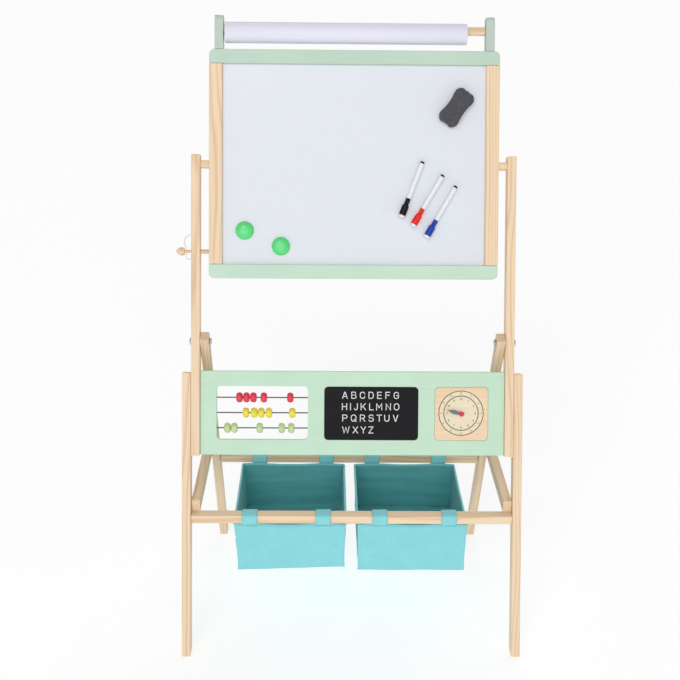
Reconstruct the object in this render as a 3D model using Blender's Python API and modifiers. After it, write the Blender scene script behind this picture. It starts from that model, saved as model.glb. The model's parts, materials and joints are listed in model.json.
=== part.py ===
"""A free-standing children's easel, in metres, +Z up, standing on the floor at z = 0.

A front frame leans back and carries a board that flips about two pivot dowels. Rear legs lean forward and are
bolted to the uprights. Level rails join the legs and hold two fabric bins. Between the uprights sits a panel
with a bead window, a letter board and a clock. A paper roll hangs on a dowel above the board.
"""

import math

import bmesh
import bpy
from mathutils import Vector

# Driving sizes of the frame
FRAME_WIDTH = 0.5445  # across the outer faces of the front legs
STRIP_THICK = 0.014  # every leg and upright, side to side
LEG_DEPTH = 0.022  # front legs and uprights, front to back
REAR_LEG_DEPTH = 0.020
FRONT_LEAN = math.radians(19.9)
FOOT_SPACING = 0.3645  # on the floor, from the front of a front foot to the front of a rear foot
FRONT_LEG_LENGTH = 0.4578
UPRIGHT_BOTTOM = 0.3246  # along the lean, from the floor
UPRIGHT_TOP = 0.804
REAR_BOLT_ALONG = 0.506876  # hinge bolts of the rear legs, along the lean, from the floor
REAR_LEG_PAST_BOLT = 0.0115
EASE = 0.0011  # rounding of every wooden edge
TOUCH = 0.0003  # gap between pieces that bear on each other

# Level rails
RAIL_TOP = 0.2145  # height of the top of the front and rear rails
RAIL_HEIGHT = 0.014
RAIL_DEPTH = 0.018
SIDE_RAIL_HEIGHT = 0.020
SIDE_RAIL_SETBACK = 0.014  # its front end, behind the front of the leg

# Hinge bolts of the rear legs
BOLT_RADIUS = 0.003
BOLT_HEAD_RADIUS = 0.0065
BOLT_HEAD_HEIGHT = 0.0035
BOLT_RUNNING = 0.0004

# Board
BOARD_SIDE_GAP = 0.01395  # between the board and each upright
BOARD_HEIGHT = 0.361
BOARD_DEPTH = 0.018
BOARD_PIVOT = 0.789  # along the lean, from the floor
RAIL_OF_BOARD = 0.022
STILE_OF_BOARD = 0.021
BOARD_CORNER = 0.0085
SHEET_THICK = 0.005
SHEET_IN_GROOVE = 0.006
PIVOT_RADIUS = 0.0065
PIVOT_IN_STILE = 0.0125
PIVOT_RUNNING = 0.0004
LOCK_BELOW_PIVOT = 0.1383

# Lock pin, in the left upright; heights run outwards from the outer face of the upright
PIN_RADIUS = 0.0034
PIN_RUNNING = 0.0004
PIN_STEM_RADIUS = 0.0025
PIN_STEM_OUT = 0.0112
PIN_KNOB_BASE_RADIUS = 0.0052
PIN_KNOB_WIDEST = 0.0155
PIN_KNOB_RADIUS = 0.0070
PIN_TIP_OUT = 0.0249
PIN_CLEAR_OF_STILE = 0.0005
PIN_HOLE_IN_STILE = 0.0125

# Retaining cord of the lock pin
CORD_RADIUS = 0.0009
CORD_UPPER_HOLE = 0.0262  # above the pin
CORD_LOWER_HOLE = 0.0120  # below the pin
CORD_HOLE_RADIUS = 0.0013
CORD_SAMPLES = 34

# Paper roll, its dowel and posts
POST_THICK = 0.014
POST_HEIGHT = 0.0545
POST_FROM_EDGE = 0.0086  # outer face, in from the side of the board
POST_CROWN = 0.0088
SEAT_ABOVE_BOARD = 0.0325
SEAT_DEPTH = 0.0075
SEAT_CLEAR = 0.0004
TENON_RADIUS = 0.0040
DOWEL_RADIUS = 0.0068
DOWEL_END_CLEAR = 0.0005
ROLL_RADIUS = 0.017
ROLL_BORE = 0.012
ROLL_CLEAR = 0.0003
ROLL_FROM_LEFT_POST = 0.0022
ROLL_FROM_RIGHT_POST = 0.0296

# Activity panel
PANEL_HEIGHT = 0.1345
PANEL_THICK = 0.012
PANEL_SETBACK = 0.005
PANEL_ABOVE_UPRIGHT_BOTTOM = 0.0014
WINDOW_HEIGHT = 0.086
BEAD_WINDOW_WIDTH = 0.146
CLOCK_WIDTH = 0.086
PANEL_BAR = 0.026075  # wood beside each cut-out; the letter board takes the width that is left
WINDOW_CORNER = 0.0065
POCKET_DEPTH = 0.003
INSERT_THICK = 0.0032
INSERT_SIDE_GAP = 0.0004

# Bead wires and beads
WIRE_RADIUS = 0.001
WIRE_SPACING = 0.0245
WIRE_IN_WALL = 0.007
WIRE_HOLE_CLEAR = 0.0003
BEAD_RADIUS = 0.0082
BEAD_WIDTH = 0.0104
BEAD_BORE_CLEAR = 0.0005
BEAD_RIM = 0.0024  # wall of the flat ring around the bore
# Centre of each bead from the middle of the window, and the row's name, top row first
BEAD_ROWS = (
    ("red", (-0.0367, -0.0255, -0.0143, 0.0024, 0.0447)),
    ("yellow", (-0.0264, -0.0131, -0.0018, 0.0107, 0.0480)),
    ("green", (-0.0560, -0.0448, -0.0042, 0.0311, 0.0464)),
)

# Clock
CLOCK_PIN_RADIUS = 0.0015
CLOCK_HEAD_RADIUS = 0.0040
CLOCK_HEAD_HEIGHT = 0.0024
CLOCK_PIN_IN_PANEL = 0.004
HAND_THICK = 0.0011
HAND_GAP = 0.0004
HAND_EYE_RADIUS = 0.0038
HAND_EYE_CLEAR = 0.0004
MINUTE_HAND = 0.0255
MINUTE_HAND_HALF_WIDTH = 0.0014
HOUR_HAND = 0.0225
HOUR_HAND_HALF_WIDTH = 0.0032
HANDS_ANGLE = math.radians(165.5)  # anticlockwise from +X, seen from the front

# Fabric bins
BIN_GAP = 0.018  # between the two bins
BIN_SIDE_GAP = 0.04265  # between a bin and the inner face of the rear leg
BIN_HEIGHT = 0.085
BIN_BELOW_RAIL = 0.0045
BIN_UNDER_RAIL = 0.0012  # its front wall, behind the front of the rail
BIN_WALL = 0.0022
BIN_TAPER = 0.0025
STRAP_WIDTH = 0.0255
STRAP_THICK = 0.0018
STRAP_SLACK = 0.0006
STRAP_OFFSET = 0.0034  # middle of a pair of straps, outwards of the middle of its bin
STRAP_FROM_SIDE = 0.0306  # half a bin's width, less half the spacing of its straps

# Loose pieces on the board: h is up the board from its pivot, and x is inwards from the edge
# of the sheet, the left one for the magnets and the right one for the others
MAGNET_RADIUS = 0.0146
MAGNET_HEIGHT = 0.0080
MAGNET_EDGE = 0.0026
MAGNET_PLACES = (("left", 0.0355, -0.1047), ("right", 0.0932, -0.1293))
ERASER_FROM_EDGE = 0.0474
ERASER_UP = 0.0913
ERASER_TURN = math.radians(35.5)  # of its long side, from upright towards +X
ERASER_THICK = 0.0120
MARKER_LENGTH = 0.0945
MARKER_RADIUS = 0.0038
MARKER_PLUG = 0.003
CAP_END = 0.004  # the magnet and felt at the tip
CAP_END_RADIUS = 0.0042
CAP_RADIUS = 0.0053
CAP_SHOULDER = 0.0205
CAP_NECK_RADIUS = 0.0037
CAP_MOUTH = 0.0320
CAP_BORE = 0.0029
CAP_FLOOR = 0.0065
NOSE_RADIUS = 0.0026
NIB_RADIUS = 0.0010
# Name, place of the tip, and the lean of the marker from upright towards +X
MARKER_PLACES = (
    ("black", 0.1336, -0.0827, math.radians(20.8)),
    ("red", 0.1155, -0.0966, math.radians(30.5)),
    ("blue", 0.0939, -0.1146, math.radians(29.8)),
)

# Colours, linear, and roughness and metallic
PINE = (0.86, 0.66, 0.45, 0.55, 0.0)
MINT = (0.55, 0.76, 0.63, 0.5, 0.0)
WHITE_SHEET = (0.80, 0.83, 0.90, 0.2, 0.0)
PAPER = (0.82, 0.80, 0.88, 0.8, 0.0)
TEAL = (0.20, 0.62, 0.66, 0.9, 0.0)
STEEL = (0.45, 0.45, 0.46, 0.3, 1.0)
DARK_WIRE = (0.10, 0.10, 0.11, 0.4, 0.8)
BLACK = (0.015, 0.015, 0.018, 0.6, 0.0)
FELT = (0.045, 0.05, 0.055, 0.95, 0.0)
RED = (0.75, 0.03, 0.04, 0.4, 0.0)
YELLOW = (0.85, 0.72, 0.10, 0.4, 0.0)
PALE_GREEN = (0.60, 0.72, 0.42, 0.4, 0.0)
BRIGHT_GREEN = (0.16, 0.73, 0.26, 0.3, 0.0)
BLUE = (0.02, 0.05, 0.50, 0.4, 0.0)
SLATE = (0.13, 0.20, 0.25, 0.5, 0.0)
WHITE_PLASTIC = (0.85, 0.85, 0.88, 0.35, 0.0)
STRING = (0.80, 0.78, 0.74, 0.9, 0.0)

# Worked out from the sizes above; x of the left side is the negative of each
LEG_OUTER = FRAME_WIDTH / 2
LEG_INNER = LEG_OUTER - STRIP_THICK
UPRIGHT_OUTER = LEG_INNER - TOUCH
UPRIGHT_INNER = UPRIGHT_OUTER - STRIP_THICK
REAR_OUTER = UPRIGHT_INNER - TOUCH
REAR_INNER = REAR_OUTER - STRIP_THICK
MID_LEG = LEG_DEPTH / 2
REAR_REACH = math.hypot(REAR_BOLT_ALONG, REAR_LEG_DEPTH / 2)
BOTH_LEANS = math.atan2(REAR_LEG_DEPTH / 2, REAR_BOLT_ALONG) + math.asin(
    (FOOT_SPACING * math.cos(FRONT_LEAN) - MID_LEG) / REAR_REACH
)
REAR_LEAN = BOTH_LEANS - FRONT_LEAN
FOOTPRINT_DEPTH = FOOT_SPACING + REAR_LEG_DEPTH / math.cos(REAR_LEAN)
FRONT_Y = -FOOTPRINT_DEPTH / 2
RAIL_BOTTOM = RAIL_TOP - RAIL_HEIGHT
FRONT_RAIL_Y = FRONT_Y + RAIL_TOP * math.tan(FRONT_LEAN)
REAR_LEG_Y = FRONT_Y + FOOT_SPACING - (RAIL_TOP - RAIL_HEIGHT / 2) * math.tan(REAR_LEAN)
REAR_RAIL_Y = REAR_LEG_Y + (REAR_LEG_DEPTH / math.cos(REAR_LEAN) - RAIL_DEPTH) / 2
BOARD_WIDTH = 2 * (UPRIGHT_INNER - BOARD_SIDE_GAP)
POST_INNER = BOARD_WIDTH / 2 - POST_FROM_EDGE - POST_THICK
ROLL_LENGTH = 2 * POST_INNER - ROLL_FROM_LEFT_POST - ROLL_FROM_RIGHT_POST
PANEL_WIDTH = 2 * (UPRIGHT_INNER - TOUCH)
LETTER_WIDTH = PANEL_WIDTH - BEAD_WINDOW_WIDTH - CLOCK_WIDTH - 4 * PANEL_BAR
BIN_WIDTH = REAR_INNER - BIN_SIDE_GAP - BIN_GAP / 2
BIN_CENTRE = (BIN_GAP + BIN_WIDTH) / 2
STRAP_CENTRE = BIN_CENTRE + STRAP_OFFSET
STRAP_HALF_SPACING = BIN_WIDTH / 2 - STRAP_FROM_SIDE
SHEET_EDGE = BOARD_WIDTH / 2 - STILE_OF_BOARD
MAGNETS = tuple((side, x - SHEET_EDGE, h) for side, x, h in MAGNET_PLACES)
ERASER_PLACE = (SHEET_EDGE - ERASER_FROM_EDGE, ERASER_UP)
MARKERS = tuple((colour, SHEET_EDGE - x, h, lean) for colour, x, h, lean in MARKER_PLACES)
SIDES = (("left", -1), ("right", 1))
ROUND_STEPS = 24
SMALL_STEPS = 16
BEAD_STEPS = 20


def clear_scene():
    for thing in list(bpy.data.objects):
        bpy.data.objects.remove(thing)


def new_collection(name, hidden):
    made = bpy.data.collections.new(name)
    bpy.context.scene.collection.children.link(made)
    made.hide_render = hidden
    return made


def finish_material(name, look):
    made = bpy.data.materials.get(name)
    if made:
        return made
    made = bpy.data.materials.new(name)
    made.use_nodes = True
    shader = made.node_tree.nodes["Principled BSDF"]
    shader.inputs["Base Color"].default_value = (*look[:3], 1.0)
    shader.inputs["Roughness"].default_value = look[3]
    shader.inputs["Metallic"].default_value = look[4]
    made.diffuse_color = (*look[:3], 1.0)
    return made


def anchor(name, parent=None, at=(0, 0, 0), turn=(0, 0, 0)):
    """An empty that pieces are placed from."""
    made = bpy.data.objects.new(name, None)
    EASEL.objects.link(made)
    made.parent = parent
    made.location = at
    made.rotation_euler = turn
    return made


def place(name, data, parent, at, look, turn=(0, 0, 0)):
    """A named sub-part with its own material."""
    made = bpy.data.objects.new(name, data)
    EASEL.objects.link(made)
    made.parent = parent
    made.location = at
    made.rotation_euler = turn
    if look:
        data.materials.append(finish_material(name, look))
    return made


def as_cutter(made):
    EASEL.objects.unlink(made)
    CUTTERS.objects.link(made)
    made.hide_render = True
    made.display_type = "WIRE"
    return made


def block_mesh(name, size):
    """A box about its own middle."""
    shape = bmesh.new()
    bmesh.ops.create_cube(shape, size=1.0)
    bmesh.ops.scale(shape, vec=size, verts=shape.verts)
    mesh = bpy.data.meshes.new(name)
    shape.to_mesh(mesh)
    shape.free()
    return mesh


def rounded_mesh(name, size, along, radius, steps, keep=lambda middle: True):
    """A box whose edges that run along one axis are rounded, where keep() says so."""
    shape = bmesh.new()
    bmesh.ops.create_cube(shape, size=1.0)
    bmesh.ops.scale(shape, vec=size, verts=shape.verts)
    edges = []
    for edge in shape.edges:
        run = edge.verts[0].co - edge.verts[1].co
        middle = (edge.verts[0].co + edge.verts[1].co) / 2
        if abs(run[along]) > 1e-6 and keep(middle):
            edges.append(edge)
    bmesh.ops.bevel(shape, geom=edges, offset=radius, segments=steps, profile=0.5, affect="EDGES")
    mesh = bpy.data.meshes.new(name)
    shape.to_mesh(mesh)
    shape.free()
    return mesh


def between(low, high):
    """Size and middle of the box between two corners."""
    size = [h - l for l, h in zip(low, high)]
    middle = [(h + l) / 2 for l, h in zip(low, high)]
    return size, middle


def ease(made, width=EASE, segments=2):
    bevel = made.modifiers.new("eased_edges", "BEVEL")
    bevel.width = width
    bevel.segments = segments
    bevel.limit_method = "ANGLE"
    bevel.angle_limit = math.radians(35)
    return made


def cut(made, *cutters):
    for cutter in cutters:
        boolean = made.modifiers.new("cut", "BOOLEAN")
        boolean.operation = "DIFFERENCE"
        boolean.object = cutter
    return made


def join(made, *others):
    for other in others:
        boolean = made.modifiers.new("join", "BOOLEAN")
        boolean.operation = "UNION"
        boolean.object = other
    return made


def block(name, low, high, parent, look, eased=True):
    size, middle = between(low, high)
    made = place(name, block_mesh(name, size), parent, middle, look)
    return ease(made) if eased else made


def block_cutter(name, low, high, parent):
    return as_cutter(block(name, low, high, parent, None, eased=False))


def turned(name, profile, parent, at, look, turn=(0, 0, 0), steps=ROUND_STEPS, closed=False):
    """A turned piece: the profile is (radius, height) down its outer side, spun about its own Z."""
    mesh = bpy.data.meshes.new(name)
    points = [(radius, 0.0, height) for radius, height in profile]
    edges = [(i, i + 1) for i in range(len(points) - 1)]
    if closed:
        edges.append((len(points) - 1, 0))
    mesh.from_pydata(points, edges, [])
    made = place(name, mesh, parent, at, look, turn)
    screw = made.modifiers.new("turned", "SCREW")
    screw.steps = steps
    screw.render_steps = steps
    screw.use_merge_vertices = True
    screw.merge_threshold = 0.00001
    screw.use_smooth_shade = True
    return made


def rod_profile(radius, low, high, chamfer=0.0):
    if chamfer:
        return (
            (0, high),
            (radius - chamfer, high),
            (radius, high - chamfer),
            (radius, low + chamfer),
            (radius - chamfer, low),
            (0, low),
        )
    return ((0, high), (radius, high), (radius, low), (0, low))


ALONG_X = (0, math.pi / 2, 0)  # a turned piece's own Z to +X
ALONG_MINUS_X = (0, -math.pi / 2, 0)
OUT_OF_FACE = (math.pi / 2, 0, 0)  # its own Z out of the front face


def hole_along_x(name, radius, x_from, x_to, parent, at, steps=ROUND_STEPS):
    """A cutter: at is (depth, height) in the parent's frame."""
    profile = rod_profile(radius, x_from, x_to)
    return as_cutter(turned(name, profile, parent, (0, *at), None, ALONG_X, steps))


def hole_into_face(name, radius, start, depth, parent, at, steps=SMALL_STEPS):
    """A cutter: at is (x, height), and it runs from start towards the back."""
    profile = rod_profile(radius, -depth, 0.001)
    return as_cutter(turned(name, profile, parent, (at[0], start, at[1]), None, OUT_OF_FACE, steps))


def leaning_strip(name, x_outer, depth, low, high, foot_slope, parent):
    """A leg or upright in its leaning frame; foot_slope levels its lower end with the floor."""
    side = 1 if x_outer > 0 else -1
    middle_x = x_outer - side * STRIP_THICK / 2
    mesh = block_mesh(name, (STRIP_THICK, depth, high - low))
    for vertex in mesh.vertices:
        if vertex.co.z < 0:
            vertex.co.z += (vertex.co.y + depth / 2) * foot_slope
    at = (middle_x, depth / 2, (low + high) / 2)
    return ease(place(name, mesh, parent, at, PINE))


def make_legs():
    for side, sign in SIDES:
        leaning_strip(
            f"front_leg_{side}",
            sign * LEG_OUTER,
            LEG_DEPTH,
            0,
            FRONT_LEG_LENGTH,
            math.tan(FRONT_LEAN),
            FRONT,
        )
        upright = leaning_strip(
            f"upright_{side}", sign * UPRIGHT_OUTER, LEG_DEPTH, UPRIGHT_BOTTOM, UPRIGHT_TOP, 0, FRONT
        )
        rear_leg = leaning_strip(
            f"rear_leg_{side}",
            sign * REAR_OUTER,
            REAR_LEG_DEPTH,
            0,
            REAR_BOLT_ALONG + REAR_LEG_PAST_BOLT,
            -math.tan(REAR_LEAN),
            REAR,
        )
        bore_pivot(upright, side, sign)
        bolt_rear_leg(upright, rear_leg, side, sign)


def bore_pivot(upright, side, sign):
    """The board's pivot dowel is glued in the upright and turns in the stile."""
    far = 2 * UPRIGHT_OUTER
    glue_hole = hole_along_x(
        f"pivot_hole_{side}", PIVOT_RADIUS + TOUCH, -far, far, FRONT, (MID_LEG, BOARD_PIVOT)
    )
    cut(upright, glue_hole)
    inner_end = BOARD_WIDTH / 2 - PIVOT_IN_STILE
    ends = sorted((sign * UPRIGHT_OUTER, sign * inner_end))
    turned(
        f"pivot_dowel_{side}",
        rod_profile(PIVOT_RADIUS, *ends, chamfer=0.0008),
        FRONT,
        (0, MID_LEG, BOARD_PIVOT),
        PINE,
        ALONG_X,
    )


def bolt_rear_leg(upright, rear_leg, side, sign):
    """One bolt through the upright and the rear leg, where their middles cross."""
    far = 2 * UPRIGHT_OUTER
    radius = BOLT_RADIUS + BOLT_RUNNING
    at = (REAR_LEG_DEPTH / 2, REAR_BOLT_ALONG)
    hole = hole_along_x(f"bolt_hole_{side}", radius, -far, far, REAR, at, SMALL_STEPS)
    cut(upright, hole)
    cut(rear_leg, hole)
    outer = UPRIGHT_OUTER + TOUCH
    inner = REAR_INNER - TOUCH
    profile = (
        (0, outer + BOLT_HEAD_HEIGHT),
        (BOLT_HEAD_RADIUS * 0.55, outer + BOLT_HEAD_HEIGHT * 0.86),
        (BOLT_HEAD_RADIUS * 0.9, outer + BOLT_HEAD_HEIGHT * 0.4),
        (BOLT_HEAD_RADIUS, outer),
        (BOLT_RADIUS, outer),
        (BOLT_RADIUS, inner),
        (BOLT_HEAD_RADIUS * 0.85, inner),
        (BOLT_HEAD_RADIUS * 0.85, inner - BOLT_HEAD_HEIGHT),
        (0, inner - BOLT_HEAD_HEIGHT),
    )
    turn = ALONG_X if sign > 0 else ALONG_MINUS_X
    turned(f"leg_hinge_bolt_{side}", profile, REAR, (0, *at), STEEL, turn, SMALL_STEPS)


def make_rails():
    half = LEG_INNER - TOUCH
    block(
        "front_rail",
        (-half, FRONT_RAIL_Y, RAIL_BOTTOM),
        (half, FRONT_RAIL_Y + RAIL_DEPTH, RAIL_TOP),
        None,
        PINE,
    )
    half = REAR_INNER - TOUCH
    block(
        "rear_rail",
        (-half, REAR_RAIL_Y, RAIL_BOTTOM),
        (half, REAR_RAIL_Y + RAIL_DEPTH, RAIL_TOP),
        None,
        PINE,
    )
    bottom = RAIL_TOP + TOUCH
    front_end = FRONT_RAIL_Y + SIDE_RAIL_SETBACK
    back_end = REAR_RAIL_Y + RAIL_DEPTH - RAIL_HEIGHT / 2 * math.tan(REAR_LEAN)
    for side, sign in SIDES:
        xs = sorted((sign * UPRIGHT_INNER, sign * UPRIGHT_OUTER))
        block(
            f"side_rail_{side}",
            (xs[0], front_end, bottom),
            (xs[1], back_end, bottom + SIDE_RAIL_HEIGHT),
            None,
            PINE,
        )


def sheet_groove():
    half_w = BOARD_WIDTH / 2 - STILE_OF_BOARD + SHEET_IN_GROOVE + TOUCH
    half_h = BOARD_HEIGHT / 2 - RAIL_OF_BOARD + SHEET_IN_GROOVE + TOUCH
    half_t = SHEET_THICK / 2 + TOUCH
    return block_cutter(
        "sheet_groove", (-half_w, -half_t, -half_h), (half_w, half_t, half_h), BOARD
    )


def make_board():
    groove = sheet_groove()
    half_w = BOARD_WIDTH / 2
    half_h = BOARD_HEIGHT / 2
    for name, sign in (("top", 1), ("bottom", -1)):
        size = (BOARD_WIDTH, BOARD_DEPTH, RAIL_OF_BOARD)
        mesh = rounded_mesh(
            name, size, 1, BOARD_CORNER, 6, lambda middle, sign=sign: middle.z * sign > 0
        )
        at = (0, 0, sign * (half_h - RAIL_OF_BOARD / 2))
        cut(ease(place(f"board_{name}_rail", mesh, BOARD, at, MINT)), groove)
    stile_top = half_h - RAIL_OF_BOARD - TOUCH
    bores = []
    for side, sign in SIDES:
        xs = sorted((sign * half_w, sign * (half_w - STILE_OF_BOARD)))
        stile = block(
            f"board_stile_{side}",
            (xs[0], -BOARD_DEPTH / 2, -stile_top),
            (xs[1], BOARD_DEPTH / 2, stile_top),
            BOARD,
            PINE,
        )
        cut(stile, groove)
        ends = sorted((sign * half_w * 1.1, sign * (half_w - PIVOT_IN_STILE - TOUCH)))
        bore = hole_along_x(
            f"stile_pivot_bore_{side}", PIVOT_RADIUS + PIVOT_RUNNING, *ends, BOARD, (0, 0)
        )
        cut(stile, bore)
        bores.append(stile)
    lock_holes = []
    for name, height in (("lower", -LOCK_BELOW_PIVOT), ("upper", LOCK_BELOW_PIVOT)):
        ends = (-half_w * 1.1, -half_w + PIN_HOLE_IN_STILE)
        lock_holes.append(
            hole_along_x(f"lock_hole_{name}", PIN_RADIUS + PIN_RUNNING, *ends, BOARD, (0, height))
        )
    cut(bores[0], *lock_holes)
    sheet_w = BOARD_WIDTH / 2 - STILE_OF_BOARD + SHEET_IN_GROOVE
    sheet_h = BOARD_HEIGHT / 2 - RAIL_OF_BOARD + SHEET_IN_GROOVE
    block(
        "board_sheet",
        (-sheet_w, -SHEET_THICK / 2, -sheet_h),
        (sheet_w, SHEET_THICK / 2, sheet_h),
        BOARD,
        WHITE_SHEET,
        eased=False,
    )


def make_lock_pin():
    """Pulled back until its tip is just clear of the stile; pushed in, it locks the board."""
    tip = UPRIGHT_OUTER - BOARD_WIDTH / 2 - PIN_CLEAR_OF_STILE
    height = BOARD_PIVOT - LOCK_BELOW_PIVOT
    profile = (
        (0, PIN_TIP_OUT),
        (0.0008, PIN_TIP_OUT - 0.0003),
        (PIN_KNOB_RADIUS * 0.62, (PIN_TIP_OUT + PIN_KNOB_WIDEST) / 2),
        (PIN_KNOB_RADIUS * 0.96, PIN_KNOB_WIDEST + 0.0012),
        (PIN_KNOB_RADIUS, PIN_KNOB_WIDEST),
        (PIN_KNOB_RADIUS * 0.95, PIN_KNOB_WIDEST - 0.0012),
        (PIN_KNOB_BASE_RADIUS, PIN_STEM_OUT),
        (PIN_STEM_RADIUS, PIN_STEM_OUT),
        (PIN_STEM_RADIUS, 0.0012),
        (PIN_RADIUS, 0.0002),
        (PIN_RADIUS, -tip + 0.0012),
        (PIN_RADIUS - 0.0010, -tip),
        (0, -tip),
    )
    turned("lock_pin", profile, FRONT, (-UPRIGHT_OUTER, MID_LEG, height), PINE, ALONG_MINUS_X)
    upright = bpy.data.objects["upright_left"]
    ends = (-UPRIGHT_OUTER * 1.1, -UPRIGHT_INNER * 0.9)
    at = (MID_LEG, height)
    cut(upright, hole_along_x("lock_pin_hole", PIN_RADIUS + PIN_RUNNING, *ends, FRONT, at))


def cord_route():
    """Points of the pin's retaining cord: x out from the upright, depth from its middle, height from the pin.

    It leaves the upper hole, loops out, passes round the front of the pin's stem and comes back to the
    lower hole.
    """
    wrap = PIN_STEM_RADIUS + CORD_RADIUS + TOUCH
    return (
        (-0.0055, 0.0, CORD_UPPER_HOLE),
        (0.0010, 0.0, CORD_UPPER_HOLE),
        (0.0062, -0.0005, 0.0247),
        (0.0108, -0.0012, 0.0192),
        (0.0112, -0.0020, 0.0122),
        (0.0090, -0.0028, 0.0062),
        (0.0078, -wrap * 0.80, 0.0026),
        (0.0076, -wrap, -0.0002),
        (0.0078, -wrap * 0.78, -0.0030),
        (0.0088, -0.0022, -0.0070),
        (0.0078, -0.0010, -0.0108),
        (0.0042, 0.0, -CORD_LOWER_HOLE - 0.0003),
        (0.0010, 0.0, -CORD_LOWER_HOLE),
        (-0.0055, 0.0, -CORD_LOWER_HOLE),
    )


def smooth_route(knots, count):
    """count points evenly spread by parameter on a Catmull-Rom curve through the knots."""
    knots = [Vector(k) for k in knots]
    padded = [2 * knots[0] - knots[1], *knots, 2 * knots[-1] - knots[-2]]
    spans = len(knots) - 1
    route = []
    for i in range(count):
        along = i * spans / (count - 1)
        span = min(int(along), spans - 1)
        t = along - span
        a, b, c, d = padded[span : span + 4]
        route.append(
            0.5
            * (2 * b + (c - a) * t + (2 * a - 5 * b + 4 * c - d) * t**2 + (3 * b - a - 3 * c + d) * t**3)
        )
    return route


def make_pin_cord():
    curve = bpy.data.curves.new("pin_cord", "CURVE")
    curve.dimensions = "3D"
    curve.bevel_depth = CORD_RADIUS
    curve.bevel_resolution = 2
    curve.use_fill_caps = True
    route = smooth_route(cord_route(), CORD_SAMPLES)
    spline = curve.splines.new("POLY")
    spline.points.add(len(route) - 1)
    for point, place_of in zip(spline.points, route):
        point.co = (-place_of.x, place_of.y, place_of.z, 1)
    height = BOARD_PIVOT - LOCK_BELOW_PIVOT
    place("pin_cord", curve, FRONT, (-UPRIGHT_OUTER, MID_LEG, height), STRING)
    upright = bpy.data.objects["upright_left"]
    for name, offset in (("upper", CORD_UPPER_HOLE), ("lower", -CORD_LOWER_HOLE)):
        ends = (-UPRIGHT_OUTER * 1.1, -UPRIGHT_OUTER + 0.006)
        at = (MID_LEG, height + offset)
        name = f"cord_hole_{name}"
        cut(upright, hole_along_x(name, CORD_HOLE_RADIUS, *ends, FRONT, at, SMALL_STEPS))


def make_roll():
    top = BOARD_HEIGHT / 2
    post_inner = POST_INNER
    seat = top + SEAT_ABOVE_BOARD
    for side, sign in SIDES:
        size = (POST_THICK, BOARD_DEPTH, POST_HEIGHT)
        mesh = rounded_mesh(f"roll_post_{side}", size, 0, POST_CROWN, 6, lambda middle: middle.z > 0)
        at = (sign * (post_inner + POST_THICK / 2), 0, top + TOUCH + POST_HEIGHT / 2)
        post = ease(place(f"roll_post_{side}", mesh, BOARD, at, MINT), 0.0008)
        half = TENON_RADIUS + SEAT_CLEAR
        xs = sorted((sign * post_inner * 0.9, sign * (post_inner + SEAT_DEPTH)))
        slot = block_cutter(
            f"seat_slot_{side}", (xs[0], -half, seat), (xs[1], half, top + 2 * POST_HEIGHT), BOARD
        )
        seat_round = hole_along_x(f"seat_round_{side}", half, *xs, BOARD, (0, seat), SMALL_STEPS)
        cut(post, slot, seat_round)
    shoulder = post_inner - DOWEL_END_CLEAR
    end = post_inner + SEAT_DEPTH - DOWEL_END_CLEAR
    profile = (
        (0, end),
        (TENON_RADIUS, end),
        (TENON_RADIUS, shoulder),
        (DOWEL_RADIUS, shoulder),
        (DOWEL_RADIUS, -shoulder),
        (TENON_RADIUS, -shoulder),
        (TENON_RADIUS, -end),
        (0, -end),
    )
    turned("roll_dowel", profile, BOARD, (0, 0, seat), PINE, ALONG_X)
    hang = ROLL_BORE - DOWEL_RADIUS - ROLL_CLEAR
    middle = -post_inner + ROLL_FROM_LEFT_POST + ROLL_LENGTH / 2
    half = ROLL_LENGTH / 2
    ring = ((ROLL_RADIUS, half), (ROLL_RADIUS, -half), (ROLL_BORE, -half), (ROLL_BORE, half))
    lean = Vector((0, math.sin(FRONT_LEAN), -math.cos(FRONT_LEAN))) * hang
    turned(
        "paper_roll", ring, BOARD, (middle, lean.y, seat + lean.z), PAPER, ALONG_X, 36, closed=True
    )


def panel_layout():
    """Middle x and width of the bead window, the letter board and the clock, evenly spaced."""
    widths = (BEAD_WINDOW_WIDTH, LETTER_WIDTH, CLOCK_WIDTH)
    left = -PANEL_WIDTH / 2
    layout = []
    for width in widths:
        left += PANEL_BAR
        layout.append((left + width / 2, width))
        left += width
    return layout


def rounded_plate(name, x, width, height, front, back, look, parent):
    """A plate with round corners between two depths, about the panel's mid height."""
    size = (width, back - front, height)
    mesh = rounded_mesh(name, size, 1, WINDOW_CORNER, 5)
    return place(name, mesh, parent, (x, (front + back) / 2, 0), look)


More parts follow.
